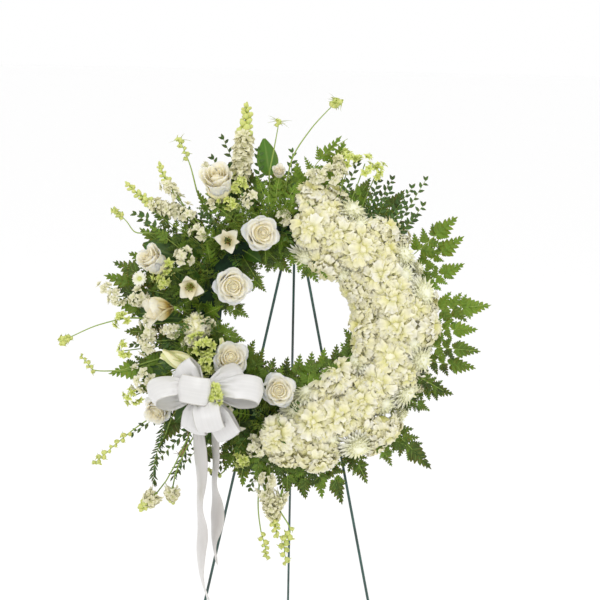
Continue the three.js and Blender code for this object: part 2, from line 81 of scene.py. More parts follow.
def foam_out(degrees, tilt, reach):
    """A point at a reach from the foam's middle line, in the direction that leaves it at a tilt."""
    turn = np.radians(tilt)
    return on_ring(degrees, FOAM_RADIUS + reach * np.sin(turn), FOAM_OUT + reach * np.cos(turn))


print("ring centre at", RING_CENTRE.round(4), "leaning", round(float(np.degrees(LEAN)), 2), "degrees")

# %% [markdown]
# Flowers are made of hundreds of thin sheets and round stems. Both could be drawn by hand, but a
# formula on a grid gives each petal its own curl at no cost. A shape here is a list of points, the
# faces between them, three marks on each point for the materials to read (how far across, how far
# along, and a tone that differs from petal to petal), and which points lie on a thin rim.
# %% Shapes and how they join
Shape = namedtuple("Shape", "points faces marks rim looks")


def unit(vectors):
    """Each vector divided by its own length."""
    vectors = np.asarray(vectors, float)
    return vectors / (np.linalg.norm(vectors, axis=-1, keepdims=True) + 1e-9)


def joined(shapes):
    """The shapes' lists one after the other, with each face counting on from the points before."""
    starts = np.cumsum([0] + [len(s.points) for s in shapes])[:-1]
    faces = [np.where(s.faces < 0, -1, s.faces + start) for s, start in zip(shapes, starts)]
    rest = [np.concatenate([s[k] for s in shapes]) for k in (2, 3, 4)]
    return Shape(np.concatenate([s.points for s in shapes]), np.concatenate(faces), *rest)


def facing(out, spin=0.0):
    """Three axes for each direction: two across it, turned round it by spin, then itself."""
    out = unit(out)
    guide = np.where(np.abs(out[..., 1:2]) < 0.9, [0.0, 1.0, 0.0], [0.0, 0.0, 1.0])
    side = unit(np.cross(guide, out))
    up = np.cross(out, side)
    c, s = np.cos(spin)[..., None], np.sin(spin)[..., None]
    return np.stack([side * c + up * s, up * c - side * s, out], -2)


def posed(shape, place, out, spin=0.0, scale=1.0):
    """The shape's own axes laid on the axes that face a direction, then moved to its place."""
    return shape._replace(points=np.asarray(place) + scale * shape.points @ facing(out, spin))


def petals(sheets, thickness, tones, look=0):
    """Closed petals from sheets on a (petal, along, across) grid. The inner points of each sheet
    move half the thickness both ways along its normal, and the two sides share the rim."""
    count, rows, columns, _ = sheets.shape
    tones = np.broadcast_to(np.asarray(tones, float), count)
    normal = unit(np.cross(np.gradient(sheets, axis=2), np.gradient(sheets, axis=1)))
    inner = np.zeros((rows, columns), bool)
    inner[1:-1, 1:-1] = True
    offset = normal * (thickness / 2) * inner[..., None]
    upper = (sheets + offset).reshape(count, -1, 3)
    lower = (sheets - offset)[:, inner]
    grid = np.arange(rows * columns).reshape(rows, columns)
    under = grid.copy()
    under[inner] = rows * columns + np.arange(inner.sum())
    above, below = (
        np.stack([g[:-1, :-1], g[:-1, 1:], g[1:, 1:], g[1:, :-1]], -1).reshape(-1, 4)
        for g in (grid, under)
    )
    one = np.concatenate([above, below[:, ::-1]])
    size = rows * columns + inner.sum()
    faces = (one + size * np.arange(count)[:, None, None]).reshape(-1, 4)
    along, across = np.meshgrid(np.linspace(0, 1, rows), np.linspace(-1, 1, columns), indexing="ij")
    flat = np.stack([across, along], -1)
    flat = np.concatenate([flat.reshape(-1, 2), flat[inner]])
    marks = np.empty((count, size, 3))
    marks[..., :2] = flat
    marks[..., 2] = tones[:, None]
    rim = np.concatenate([~inner.ravel(), np.zeros(inner.sum(), bool)])
    points = np.concatenate([upper, lower], 1).reshape(-1, 3)
    looks = np.full(len(faces), look)
    return Shape(points, faces, marks.reshape(-1, 3), np.tile(rim, count), looks)


def closed_rings(rows, sides):
    """Faces for rings of points one after the other: walls between the rings, and a fan of triangles
    from each end to a pole; the two poles come after all the rings. A -1 stands for no corner."""
    index = np.arange(rows * sides).reshape(rows, sides)
    after = np.roll(index, -1, axis=1)
    walls = np.stack([index[:-1], after[:-1], after[1:], index[1:]], -1).reshape(-1, 4)
    first, last, none = (np.full(sides, k) for k in (rows * sides, rows * sides + 1, -1))
    start = np.stack([first, after[0], index[0], none], -1)
    end = np.stack([last, index[-1], after[-1], none], -1)
    return np.concatenate([walls, start, end])


def tube(path, radius, sides, tone, look):
    """A ring of points of the given radius square to each step of the path. The axis that the path
    spreads least along keeps the rings in line."""
    path = np.asarray(path, float)
    steps = len(path)
    along = unit(np.gradient(path, axis=0))
    flat = np.linalg.svd(path - path.mean(0), full_matrices=True)[2][-1]
    side = unit(np.cross(along, flat))
    other = np.cross(along, side)
    turn = np.linspace(0, 2 * np.pi, sides, endpoint=False)
    spokes = side[:, None] * np.cos(turn)[:, None] + other[:, None] * np.sin(turn)[:, None]
    rings = path[:, None] + spokes * np.broadcast_to(radius, steps)[:, None, None]
    faces = closed_rings(steps, sides)
    points = np.concatenate([rings.reshape(-1, 3), path[:1], path[-1:]])
    marks = np.zeros((len(points), 3))
    marks[: steps * sides, 1] = np.repeat(np.linspace(0, 1, steps), sides)
    marks[-1, 1] = 1
    marks[:, 2] = tone
    return Shape(points, faces, marks, np.zeros(len(points), bool), np.full(len(faces), look))


def beads(centres, radius, stretch, out, tones, look=0, sides=6):
    """Small closed buds: three rings of points on a ball, drawn out along a direction, and a pole
    at each end."""
    centres = np.atleast_2d(np.asarray(centres, float))
    count = len(centres)
    turn = np.linspace(0, 2 * np.pi, sides, endpoint=False)
    tilt = np.radians([-48, 0, 46])
    ring = np.stack(np.broadcast_arrays(
        np.cos(tilt)[:, None] * np.cos(turn), np.cos(tilt)[:, None] * np.sin(turn),
        np.sin(tilt)[:, None]), -1).reshape(-1, 3)
    ball = np.concatenate([ring, [[0, 0, -1], [0, 0, 1]]])
    size = np.stack(np.broadcast_arrays(radius, radius, np.multiply(radius, stretch)), -1)
    size = np.broadcast_to(size, (count, 3))
    axes = np.broadcast_to(facing(np.atleast_2d(out)), (count, 3, 3))
    points = centres[:, None] + np.einsum("kpi,kij->kpj", ball * size[:, None], axes)
    one = closed_rings(3, sides)
    faces = one + len(ball) * np.arange(count)[:, None, None] * (one >= 0)
    marks = np.zeros((count, len(ball), 3))
    marks[..., 1] = (ball[:, 2] + 1) / 2
    marks[..., 2] = np.broadcast_to(tones, count)[:, None]
    faces = faces.reshape(-1, 4)
    looks = np.full(len(faces), look)
    return Shape(points.reshape(-1, 3), faces, marks.reshape(-1, 3),
                 np.zeros(count * len(ball), bool), looks)


made = []


def piece(name, shape, finishes, slot, stands_for=()):
    """One object from a shape: its points go into the room, and its rims are kept as sharp edges."""
    mesh = bpy.data.meshes.new(name)
    corners = shape.faces[shape.faces >= 0]
    sizes = (shape.faces >= 0).sum(1)
    mesh.vertices.add(len(shape.points))
    mesh.vertices.foreach_set("co", in_room(shape.points).astype(np.float32).ravel())
    mesh.loops.add(len(corners))
    mesh.loops.foreach_set("vertex_index", corners.astype(np.int32))
    mesh.polygons.add(len(sizes))
    mesh.polygons.foreach_set("loop_start", (np.cumsum(sizes) - sizes).astype(np.int32))
    mesh.polygons.foreach_set("material_index", shape.looks.astype(np.int32))
    mesh.polygons.foreach_set("use_smooth", np.ones(len(sizes), bool))
    mesh.update(calc_edges=True)
    ends = np.empty(2 * len(mesh.edges), np.int32)
    mesh.edges.foreach_get("vertices", ends)
    mesh.edges.foreach_set("use_edge_sharp", shape.rim[ends.reshape(-1, 2)].all(1))
    marks = mesh.attributes.new("marks", "FLOAT_VECTOR", "POINT")
    marks.data.foreach_set("vector", shape.marks.astype(np.float32).ravel())
    for skin in finishes:
        mesh.materials.append(skin)
    made_object = bpy.data.objects.new(name, mesh)
    bpy.context.scene.collection.objects.link(made_object)
    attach(made_object, "root")
    if stands_for:
        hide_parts(*stands_for)
    made.append((name, len(corners) - 2 * len(sizes)))
    return made_object


# %% [markdown]
# The viewer stands square to the leaning wreath, 2.6 metres away and looking slightly down, and sees
# a square a bit over 1.3 metres wide. The lens is worked out from those two lengths, and the
# camera's own axes are the wreath's, turned by about one degree, as a hand-held camera is.
# %% Camera
VIEW_DISTANCE = 2.6
VIEW_WIDTH = 1.32
VIEW_MIDDLE = (3, 55)  # what the lens points at, right of and above the ring's middle, millimetres
CAMERA_ROLL = np.radians(1.2)
scene = bpy.context.scene
lens = bpy.data.cameras.new("studio_camera")
lens.sensor_width = 36
lens.lens = 36 * VIEW_DISTANCE / VIEW_WIDTH
camera = bpy.data.objects.new("studio_camera", lens)
scene.collection.objects.link(camera)
camera.location = in_room([*VIEW_MIDDLE, 1000 * VIEW_DISTANCE])
c, s = np.cos(CAMERA_ROLL), np.sin(CAMERA_ROLL)
camera_axes = np.array([[c, s, 0], [-s, c, 0], [0, 0, 1]]) @ AXES
camera.rotation_euler = Matrix(camera_axes.T.tolist()).to_euler()
scene.camera = camera
scene.view_settings.view_transform = "Standard"
print("lens", round(lens.lens, 1), "mm at", [round(c, 3) for c in camera.location])

# %% [markdown]
# Every finish below is a small tree of nodes. One function adds a node, sets its properties and
# fills its sockets, either with a value or with another node's output. Colours are written the way
# a paint chart gives them, as sRGB hex, and one function turns them to the linear light that the
# renderer works in.
# %% Nodes and colours


def linear(code):
    """sRGB hex to linear light: a straight part near black, and the power 2.4 above it."""
    part = np.array([int(code[i:i + 2], 16) for i in (0, 2, 4)]) / 255
    light = np.where(part <= 0.04045, part / 12.92, ((part + 0.055) / 1.055) ** 2.4)
    return (*map(float, light), 1.0)


def node(tree, kind, sockets=None, **settings):
    """Adds a node of a kind, with its properties and its sockets' values or links."""
    added = tree.nodes.new(kind)
    for name, value in settings.items():
        setattr(added, name, value)
    for name, value in (sockets or {}).items():
        if isinstance(value, bpy.types.NodeSocket):
            tree.links.new(value, added.inputs[name])
        else:
            added.inputs[name].default_value = value
    return added


def ramp(tree, factor, stops):
    """A colour ramp through the stops, a list of (position, hex colour)."""
    added = node(tree, "ShaderNodeValToRGB", {"Fac": factor})
    band = added.color_ramp
    while len(band.elements) < len(stops):
        band.elements.new(0.5)
    for element, (position, code) in zip(band.elements, stops):
        element.position = position
        element.color = linear(code)
    return added.outputs["Color"]


def finish(name, **surface):
    """A new material with one Principled surface, whose plain values are set on its sockets."""
    made_finish = bpy.data.materials.new(name)
    made_finish.use_nodes = True
    tree = made_finish.node_tree
    principled = tree.nodes["Principled BSDF"]
    for socket, value in surface.items():
        principled.inputs[socket.replace("_", " ")].default_value = value
    return made_finish, tree, principled


def blended(tree, factor, one, two, mode="MIX"):
    """Two colours mixed by a factor."""
    return node(tree, "ShaderNodeMix", {0: factor, 6: one, 7: two}, data_type="RGBA",
                blend_type=mode).outputs[2]


def maths(tree, operation, *values):
    """One step of arithmetic on numbers or sockets."""
    return node(tree, "ShaderNodeMath", dict(enumerate(values)), operation=operation).outputs[0]


def raised(tree, skin, height, strength, distance):
    """Bumps of a depth in metres on a surface."""
    bump = node(tree, "ShaderNodeBump", {"Height": height, "Strength": strength, "Distance": distance})
    tree.links.new(bump.outputs["Normal"], skin.inputs["Normal"])


def mottle(tree, millimetres, detail=2.0):
    """Soft patches of about the given size, the same in every direction, from 0 to 1."""
    place = node(tree, "ShaderNodeTexCoord").outputs["Object"]
    return node(tree, "ShaderNodeTexNoise", {
        "Vector": place, "Scale": 1000 / (2 * millimetres), "Detail": detail}).outputs["Fac"]


def marked(tree):
    """The three marks of a piece: how far across, how far along, and its tone."""
    marks = node(tree, "ShaderNodeAttribute", attribute_name="marks").outputs["Vector"]
    return node(tree, "ShaderNodeSeparateXYZ", {"Vector": marks}).outputs


# %% [markdown]
# A petal is a soft, slightly waxy skin full of water and air. It scatters nearly all the light that
# falls on it, so its colours are set almost white and the depth between petals does the shading:
# light that bounces there many times turns creamy. Light also passes through: most in the thick
# petals of a rose, which glow where they stand one behind the other. The face is fairly rough with
# a faint sheen, the throat is greener than the blade and the rim is palest. Fine veins run along
# it; real ones are about 0.5 mm apart, drawn here about 2 mm apart to be seen.
# %% Petal finishes


def petal_finish(name, stops, warm, veins=5.0, glow=0.08):
    """Colour by how far along the petal, mixed by tone with a warmer one, with veins as bumps."""
    made_finish, tree, skin = finish(
        name, Roughness=0.55, Specular_IOR_Level=0.3, Sheen_Weight=0.1, Sheen_Roughness=0.6,
        Subsurface_Weight=glow, Subsurface_Scale=0.006, Subsurface_Radius=(1.0, 0.9, 0.6))
    across, along, tone = (marked(tree)[k] for k in range(3))
    warmer = blended(tree, tone, ramp(tree, along, stops), linear(warm), "MULTIPLY")
    patches = ramp(tree, mottle(tree, 5), [(0.35, "F3F1EA"), (0.65, "FFFFFF")])
    whole = blended(tree, 0.6, warmer, patches, "MULTIPLY")
    tree.links.new(whole, skin.inputs["Base Color"])
    waves = maths(tree, "SINE", maths(tree, "MULTIPLY", across, veins * np.pi))
    raised(tree, skin, waves, 0.25, 0.0003)
    return made_finish


ROSE_STOPS = [(0.0, "E8E0B8"), (0.35, "F4EED6"), (0.75, "F9F5E6"), (1.0, "FCF9EF")]
CARNATION_STOPS = [(0.0, "BFC85E"), (0.4, "DEDC98"), (0.72, "F0ECCC"), (1.0, "F9F6E9")]
MUM_STOPS = [(0.0, "C4CF78"), (0.3, "E6E8BE"), (0.6, "F5F4E6"), (1.0, "FCFBF6")]
TRUMPET_STOPS = [(0.0, "B2B65A"), (0.13, "6E5A1C"), (0.24, "B3963F"), (0.42, "EADFAE"), (0.7, "F5EFD6"),
                 (1.0, "F6F1E0")]
STOCK_STOPS = [(0.0, "C2CC7A"), (0.4, "E4E2C0"), (1.0, "EFECDA")]
rose_petal = petal_finish("garden_rose_petal", ROSE_STOPS, "FBF2D4", glow=0.8)
carnation_petal = petal_finish("carnation_petal", CARNATION_STOPS, "FCFAE0", veins=3)
mum_petal = petal_finish("cushion_mum_petal", MUM_STOPS, "F2F3CE", veins=2)
trumpet_petal = petal_finish("alstroemeria_petal", TRUMPET_STOPS, "FDF6DC", veins=6, glow=0.4)
stock_petal = petal_finish("stock_petal", STOCK_STOPS, "FBF9E2", veins=2)

# %% [markdown]
# Leaves are darker, tougher and glossier than petals: a waxy skin over green cells. The midrib is
# paler and raised, and the colour differs from leaf to leaf. Stems and buds share that skin.
# %% Leaf, bud and stem finishes


def leaf_finish(name, dark, bright, rib, roughness, veins=7.0):
    """Colour between two greens by tone and by patches, with a paler midrib and slanting veins."""
    made_finish, tree, skin = finish(
        name, Roughness=roughness, Specular_IOR_Level=0.25, Subsurface_Weight=0.08,
        Subsurface_Scale=0.002)
    across, along, tone = (marked(tree)[k] for k in range(3))
    mixed = maths(tree, "ADD", tone, maths(tree, "MULTIPLY", mottle(tree, 9), 0.5))
    flat = ramp(tree, mixed, [(0.1, dark), (1.1, bright)])
    side = maths(tree, "ABSOLUTE", across)
    share = maths(tree, "MULTIPLY", ramp(tree, side, [(0.0, "FFFFFF"), (0.16, "000000")]), 0.55)
    tree.links.new(blended(tree, share, flat, linear(rib)), skin.inputs["Base Color"])
    slant = maths(tree, "MULTIPLY_ADD", side, -0.35, along)
    waves = maths(tree, "SINE", maths(tree, "MULTIPLY", slant, veins * 2 * np.pi))
    raised(tree, skin, waves, 0.3, 0.0004)
    return made_finish


fern_leaf = leaf_finish("leatherleaf_fern", "142408", "688622", "84A046", roughness=0.4)
broad_leaf = leaf_finish("salal_leaf", "152C0A", "4E7622", "7C9648", roughness=0.34, veins=6)
sprig_leaf = leaf_finish("myrtle_leaf", "16290F", "4C6E2C", "708848", roughness=0.38, veins=3)
plume_leaf = leaf_finish("tree_fern_needle", "263E0E", "7C9430", "90A248", roughness=0.5, veins=1)
green_stem = leaf_finish("cut_stem", "4C6B24", "93A94E", "93A94E", roughness=0.5, veins=0)
lime_bud = leaf_finish("lime_bud_skin", "7F9632", "C3CB6C", "D6D98A", roughness=0.5, veins=2)
dry_twig = leaf_finish("dry_twig", "4A3D25", "B29E6E", "8E7B50", roughness=0.8, veins=0)
pollen = leaf_finish("ripe_anther", "3A2A0C", "7E5A22", "6B4A1A", roughness=0.8, veins=0)
print("plant finishes", len(bpy.data.materials))

# %% [markdown]
# A garden rose is a spiral of broad petals. Each could be cut from a sphere, but a real petal is a
# piece of a vase: it rises from the base, swells, and its lip rolls outwards to a soft point. Its
# two sides tuck in, so each layer is a rosette of overlapping arcs and not a ring. The inner layers
# are tight and warm, and the outer ones are few, wide and nearly white.
# %% Roses
ROSE_LAYERS = [
    # petals, radius at the throat, height, half angle, flare of the lip, how far it drops, tuck
    (2, 3.0, 69, 2.3, 1.5, 0.0, 0.04),
    (3, 6.5, 71, 1.7, 2.5, 0.2, 0.12),
    (3, 11.5, 73, 1.5, 4.0, 0.8, 0.18),
    (3, 17.5, 73, 1.4, 6.5, 2.5, 0.24),
    (4, 23.5, 70, 1.12, 7.5, 5.0, 0.26),
    (5, 28.0, 62, 0.95, 8.5, 9.0, 0.26),
    (4, 29.5, 50, 1.0, 10.0, 12.0, 0.26),
]


def rose_petals(radius, height, half, flare, drop, tuck, turns, rng):
    """Angle: the petal's own plus its half angle times how far across. Radius: a vase that swells
    until two thirds of the height, less the tuck times the square of how far across, then the lip's
    flare, which is greatest in the middle. Height: a round-topped outline, less what the lip
    drops."""
    count = len(turns)
    s = (1 - (1 - np.linspace(0, 1, 9)) ** 1.6)[None, :, None]
    q = np.linspace(-1, 1, 9)[None, None, :]
    lean = rng.uniform(-1, 1, (count, 1, 1))
    phase = rng.uniform(0, 6.3, (count, 1, 1))
    swell = np.sin(np.pi / 2 * np.minimum(1, s / 0.66)) ** 0.8
    lip = np.clip((s - 0.66) / 0.34, 0, 1)
    outline = 0.55 + 0.45 * np.sqrt(1 - 0.98 * np.abs(q) ** 2.3)
    z = height * s * (1 + (outline - 1) * s ** 1.5)
    z = z - drop * lip ** 2 * (1 + 0.3 * lean - 0.4 * q ** 2)
    point = 0.75 + 0.55 * np.exp(-(q / 0.4) ** 2)
    r = 2 + (radius - 2) * swell * (1 - tuck * q ** 2 + 0.07 * q)
    r = r + flare * lip ** 1.6 * point * (1 + 0.25 * lean) - 0.1 * radius * (1 - swell)
    r = r + 0.045 * radius * lip * np.sin(3.4 * q + phase)
    z = z + 1.6 * lip * np.sin(4.1 * q + 2 * phase)
    a = turns[:, None, None] + half * q * (1 - 0.25 * (1 - s) ** 2)
    return np.stack(np.broadcast_arrays(r * np.cos(a), r * np.sin(a), z), -1)


def blade(lengths, widths, bends, rows=5, columns=3, tip=1.0, cup=0.0):
    """Flat leaves along the second axis: the half width swells and closes to a tip, and each leaf
    bends down like a bow. A cup lifts both sides. Everything is per leaf."""
    s = np.linspace(0, 1, rows)[None, :, None]
    q = np.linspace(-1, 1, columns)[None, None, :]
    length, width, bend = (np.asarray(k, float).reshape(-1, 1, 1) for k in (lengths, widths, bends))
    half = width * (np.sin(np.pi * (0.04 + 0.93 * s) ** (0.75 * tip)) ** 0.9 + 0.03)
    angle = bend * s + 1e-6
    y = length * np.sin(angle) / angle * s
    z = -length * (1 - np.cos(angle)) / angle * s + cup * half * q ** 2
    return np.stack(np.broadcast_arrays(half * q, y, z), -1)


def away(tilts, turns):
    """Directions tilted from straight up and turned round it."""
    tilts, turns = np.broadcast_arrays(tilts, turns)
    return np.stack([np.sin(tilts) * np.cos(turns), np.sin(tilts) * np.sin(turns), np.cos(tilts)], -1)


def on_dome(sheets, tilts, turns, twist=0.0):
    """Lays each leaf of a sheet array along a tilted direction, its face turned to the dome's axis,
    and twists it about its own length."""
    tilts, turns, twist = (k[:, None] for k in np.broadcast_arrays(tilts, turns, twist))
    c, s = np.cos(turns), np.sin(turns)
    side = np.concatenate([-s, c, 0 * turns], 1)
    face = np.concatenate([-np.cos(tilts) * c, -np.cos(tilts) * s, np.sin(tilts)], 1)
    c, s = np.cos(twist), np.sin(twist)
    axes = np.stack([side * c + face * s, away(tilts[:, 0], turns[:, 0]), face * c - side * s], 1)
    return np.einsum("krcx,kxy->krcy", sheets, axes)


def rose(seed, opened, layers):
    """All layers of petals, each turned by the golden angle from the last, over five sepals and
    round a packed heart that closes the wells between the layers."""
    rng = np.random.default_rng(seed)
    parts, turn = [], rng.uniform(0, 6)
    for number, (count, radius, height, half, flare, drop, tuck) in enumerate(layers):
        turns = turn + np.arange(count) * 2 * np.pi / count + rng.uniform(-0.2, 0.2, count)
        turn += 2.4
        sheets = rose_petals(
            radius * opened, height, half, flare * opened, drop * opened, tuck, turns, rng)
        tones = np.clip(1.0 - 0.2 * number + rng.uniform(-0.1, 0.1, count), 0, 1)
        parts.append(petals(sheets, 0.7, tones))
    round_it = np.arange(5) * 2 * np.pi / 5 + turn
    sepals = on_dome(blade(np.full(5, 34), 6, 0.9, cup=0.3), np.full(5, 1.15), round_it)
    parts.append(petals(sepals + [0, 0, 3], 0.8, 0.4, look=1))
    parts.append(beads([0, 0, 3], 8, 0.9, [0, 0, 1], 0.5, look=1))
    parts.append(beads([0, 0, 36], 25 * opened, 1.15, [0, 0, 1], 1.0, sides=12))
    return joined(parts)


def stem(base, out, degrees, tilt, radius=2.5, tone=0.0):
    """A cut stem: from behind a flower's base, round a smooth bend, into the foam."""
    base = np.asarray(base, float)
    turn = np.radians(tilt)
    inward = on_ring(degrees, np.sin(turn), np.cos(turn))
    end = on_ring(degrees, FOAM_RADIUS, FOAM_OUT) + 12 * inward
    reach = np.linalg.norm(base - end)
    corners = [base, base - 0.3 * reach * unit(out), end + 0.45 * reach * inward, end]
    t = np.linspace(0, 1, 8)[:, None]
    weights = [(1 - t) ** 3, 3 * t * (1 - t) ** 2, 3 * t ** 2 * (1 - t), t ** 3]
    return tube(sum(w * c for w, c in zip(weights, corners)), radius, 6, tone, 1)


ROSES = [
    # place, way it faces, where its stem enters the ring, size, how far it has opened: the two at
    # the upper left are still half closed, and only the five inner layers show
    ([-174, 294, 112], [-0.1, 0.75, 1], (118, 40), 1.44, 0.79),
    ([-80, 192, 138], [0.2, 0.0, 1], (112, 2), 0.98, 1.0),
    ([-138, 82, 138], [0.15, -0.12, 1], (150, -20), 1.0, 1.0),
    ([-305, 128, 102], [-0.55, 0.5, 0.8], (160, 48), 1.22, 0.79),
    ([-140, -72, 118], [0.1, 0.3, 1], (205, -20), 1.0, 1.0),
    ([-38, -136, 122], [0.05, 0.1, 1], (250, -22), 0.92, 1.0),
    ([-295, -185, 84], [-0.25, -0.5, 1], (209, 55), 0.85, 0.95),
]
for number, (place, out, entry, size, opened) in enumerate(ROSES, 1):
    base = np.array(place) - 42 * size * unit(out)
    layers = ROSE_LAYERS[:5] if opened < 0.8 else ROSE_LAYERS
    head = posed(rose(number, opened, layers), base, out, 1.3 * number, size)
    whole = joined([head, stem(base, out, *entry, tone=0.3)])
    piece(f"garden_rose_{number}", whole, [rose_petal, green_stem], "rose_petal", [f"rose_{number}"])
print("roses", made[-1])

# %% [markdown]
# The crescent mixes two flowers. A carnation is a dome of fans: each fan rises along its claw, then
# its wide crinkled edge bends out and lies on the dome like a roof tile. A cushion mum is a dome of
# narrow pointed petals, short and green in the middle. Both tilt their petals further and further
# from the middle by the golden angle, around a soft heart that closes the gaps. Twelve stations
# round the ring each carry a row of three big heads, and smaller heads fill in between the rows.
# %% Carnations and cushion mums
GOLDEN = np.pi * (3 - np.sqrt(5))


def fans(count, length, width, crinkle, rng):
    """Up to 0.45 of its length a fan is a straight claw. Past that it bends outwards by an arc, its
    half width grows, every second point of its edge draws back into a tooth, and it crinkles in
    waves that grow towards the edge."""
    s = np.linspace(0, 1, 5)[None, :, None]
    q = np.linspace(-1, 1, 7)[None, None, :]
    size = rng.uniform(0.85, 1.15, (count, 1, 1))
    phase = rng.uniform(0, 6.3, (count, 1, 1))
    past = np.clip((s - 0.45) / 0.55, 0, 1)
    half = width * size * (0.15 + 0.85 * s ** 1.2) * (1 - 0.1 * past)
    y = length * size * (0.12 + 0.88 * np.sin(np.pi / 2 * np.minimum(1, s / 0.8)))
    y = y + crinkle * past * np.sin(2.3 * np.pi * q + phase) - 0.1 * length * past ** 3
    y = y - 0.05 * length * q ** 2 * past
    teeth = 2.2 * (np.arange(7) % 2)[None, None, :] * s ** 8
    reach = 0.36 * length * size * past ** 1.5 * (1 + 0.5 * np.sin(phase))
    z = -reach * (1 - 0.14 * q ** 2) + teeth + 0.5 * crinkle * s * np.sin(5.2 * q + 2 * phase)
    return np.stack(np.broadcast_arrays(half * q, y, z), -1)


def carnation(seed, petals_in_it=70, length=44, width=14):
    """Fans on a dome: the tilt goes from upright in the middle to level at the edge."""
    rng = np.random.default_rng(seed)
    order = (np.arange(petals_in_it) + 0.5) / petals_in_it
    tilts = np.radians(2 + 80 * order ** 0.66) + rng.uniform(-0.09, 0.09, petals_in_it)
    turns = GOLDEN * np.arange(petals_in_it) + rng.uniform(-0.25, 0.25, petals_in_it)
    size = (1.04 - 0.12 * order + rng.uniform(-0.05, 0.05, petals_in_it))[:, None, None, None]
    sheets = fans(petals_in_it, length, width, 4.6, rng) * size
    laid = on_dome(sheets, tilts, turns, rng.uniform(-0.8, 0.8, petals_in_it)) * [1.0, 1.0, 0.86]
    heart = beads([0, 0, 2], 0.73 * length, 0.9, [0, 0, 1], 0.6, sides=10)
    calyx = beads([0, 0, -14], 9, 1.6, [0, 0, 1], 0.3, look=1, sides=8)
    return joined([petals(laid, 0.5, rng.uniform(0, 1, petals_in_it)), heart, calyx])


def mum(seed, petals_in_it=124, length=48, width=6.4):
    """Narrow cupped blades on a dome, short and green in the middle, flat at the edge."""
    rng = np.random.default_rng(seed)
    order = (np.arange(petals_in_it) + 0.5) / petals_in_it
    tilts = np.radians(4 + 92 * order ** 0.58) + rng.uniform(-0.07, 0.07, petals_in_it)
    turns = GOLDEN * np.arange(petals_in_it)
    lengths = length * (0.7 + 0.36 * order) * rng.uniform(0.92, 1.08, petals_in_it)
    bends = 0.25 + 0.5 * (1 - order) + rng.uniform(-0.2, 0.2, petals_in_it)
    sheets = blade(lengths, width * (0.75 + 0.45 * order), bends, 5, 3, 0.8, 0.45)
    laid = on_dome(sheets, tilts, turns, rng.uniform(-0.25, 0.25, petals_in_it))
    tones = np.clip(1 - order + rng.uniform(-0.1, 0.1, petals_in_it), 0, 1)
    heart = beads([0, 0, 2], 0.54 * length, 0.9, [0, 0, 1], 0.6, sides=10)
    calyx = beads([0, 0, -9], 8, 1.3, [0, 0, 1], 0.3, look=1, sides=8)
    return joined([petals(laid, 0.6, tones), heart, calyx])


STATIONS = 12
FIRST_STATION, STATION_STEP = 84, 16.5  # degrees round the ring, going clockwise
ROW = [(-4, 78, "b"), (58, 71, "a"), (-60, 83, "c")]
LAST_ROW = [(14, 78, "b"), (66, 71, "a")]
flower_kinds = "ccm cmc ccm cmc cmc ccc cmc cmm ccc cmc ccm cc".split()
KINDS = {"c": ("carnation", carnation_petal), "m": ("cushion_mum", mum_petal)}
crescent_rng = np.random.default_rng(8)


def swell(degrees):
    """How many millimetres further the outer heads stand out at the crescent's fullest place."""
    return 15 * np.exp(-((degrees + 54) / 17) ** 2)


for station in range(STATIONS):
    degrees = FIRST_STATION - STATION_STEP * station
    heads = LAST_ROW if station == STATIONS - 1 else ROW
    for (tilt, reach, letter), kind in zip(heads, flower_kinds[station]):
        turn = np.radians(tilt)
        shift = crescent_rng.uniform(-1, 1, 3)
        out = on_ring(degrees + 3 * shift[0], np.sin(turn), np.cos(turn))
        reach = reach + (13 if tilt > 50 and station > 7 else 7 if tilt > 50 else 3)
        reach = reach + (swell(degrees) if tilt > 50 else 0)
        middle = on_ring(degrees + 2.2 * shift[0], FOAM_RADIUS, FOAM_OUT)
        middle = middle + (reach - 16 + 4 * shift[1]) * out
        seed = 10 * station + ord(letter)
        head = carnation(seed) if kind == "c" else mum(seed)
        head = posed(head, middle, out + 0.12 * np.roll(shift, 1), 2.0 * station, 0.97 + 0.06 * shift[2])
        root = on_ring(degrees, FOAM_RADIUS, FOAM_OUT) + 12 * out
        whole = joined([head, tube([middle, middle - 24 * out, root], 2.5, 6, 0.3, 1)])
        name, skin = KINDS[kind]
        row = f"{station + 1:02d}"
        piece(f"{name}_{row}{letter}", whole, [skin, green_stem], "cream_petal", [f"crescent_row_{row}"])

for station in range(STATIONS - 1):
    degrees = FIRST_STATION - STATION_STEP * (station + 0.5)
    for tilt, letter in ((30, "d"), (-30, "e"), (84, "f")):
        shift = crescent_rng.uniform(-1, 1, 3)
        turn = np.radians(tilt + 5 * shift[0])
        out = on_ring(degrees, np.sin(turn), np.cos(turn))
        reach = 55 + (8 + swell(degrees) if tilt > 80 else 0) + 4 * shift[2]
        middle = on_ring(degrees + 1.5 * shift[1], FOAM_RADIUS, FOAM_OUT) + reach * out
        seed = 500 + 10 * station + ord(letter)
        kind = "cm"[(station + ord(letter)) % 2]
        head = mum(seed, 90, 39, 5.4) if kind == "m" else carnation(seed, 46, 37, 12)
        head = posed(head, middle, out, 1.7 * station, 1.0)
        whole = joined([head, tube([middle, middle - 30 * out], 2.2, 6, 0.3, 1)])
        name, skin = KINDS[kind]
        piece(f"{name}_{station + 1:02d}{letter}", whole, [skin, green_stem], "cream_petal")
print("crescent heads", 3 * STATIONS - 1 + 3 * (STATIONS - 1), made[-1])

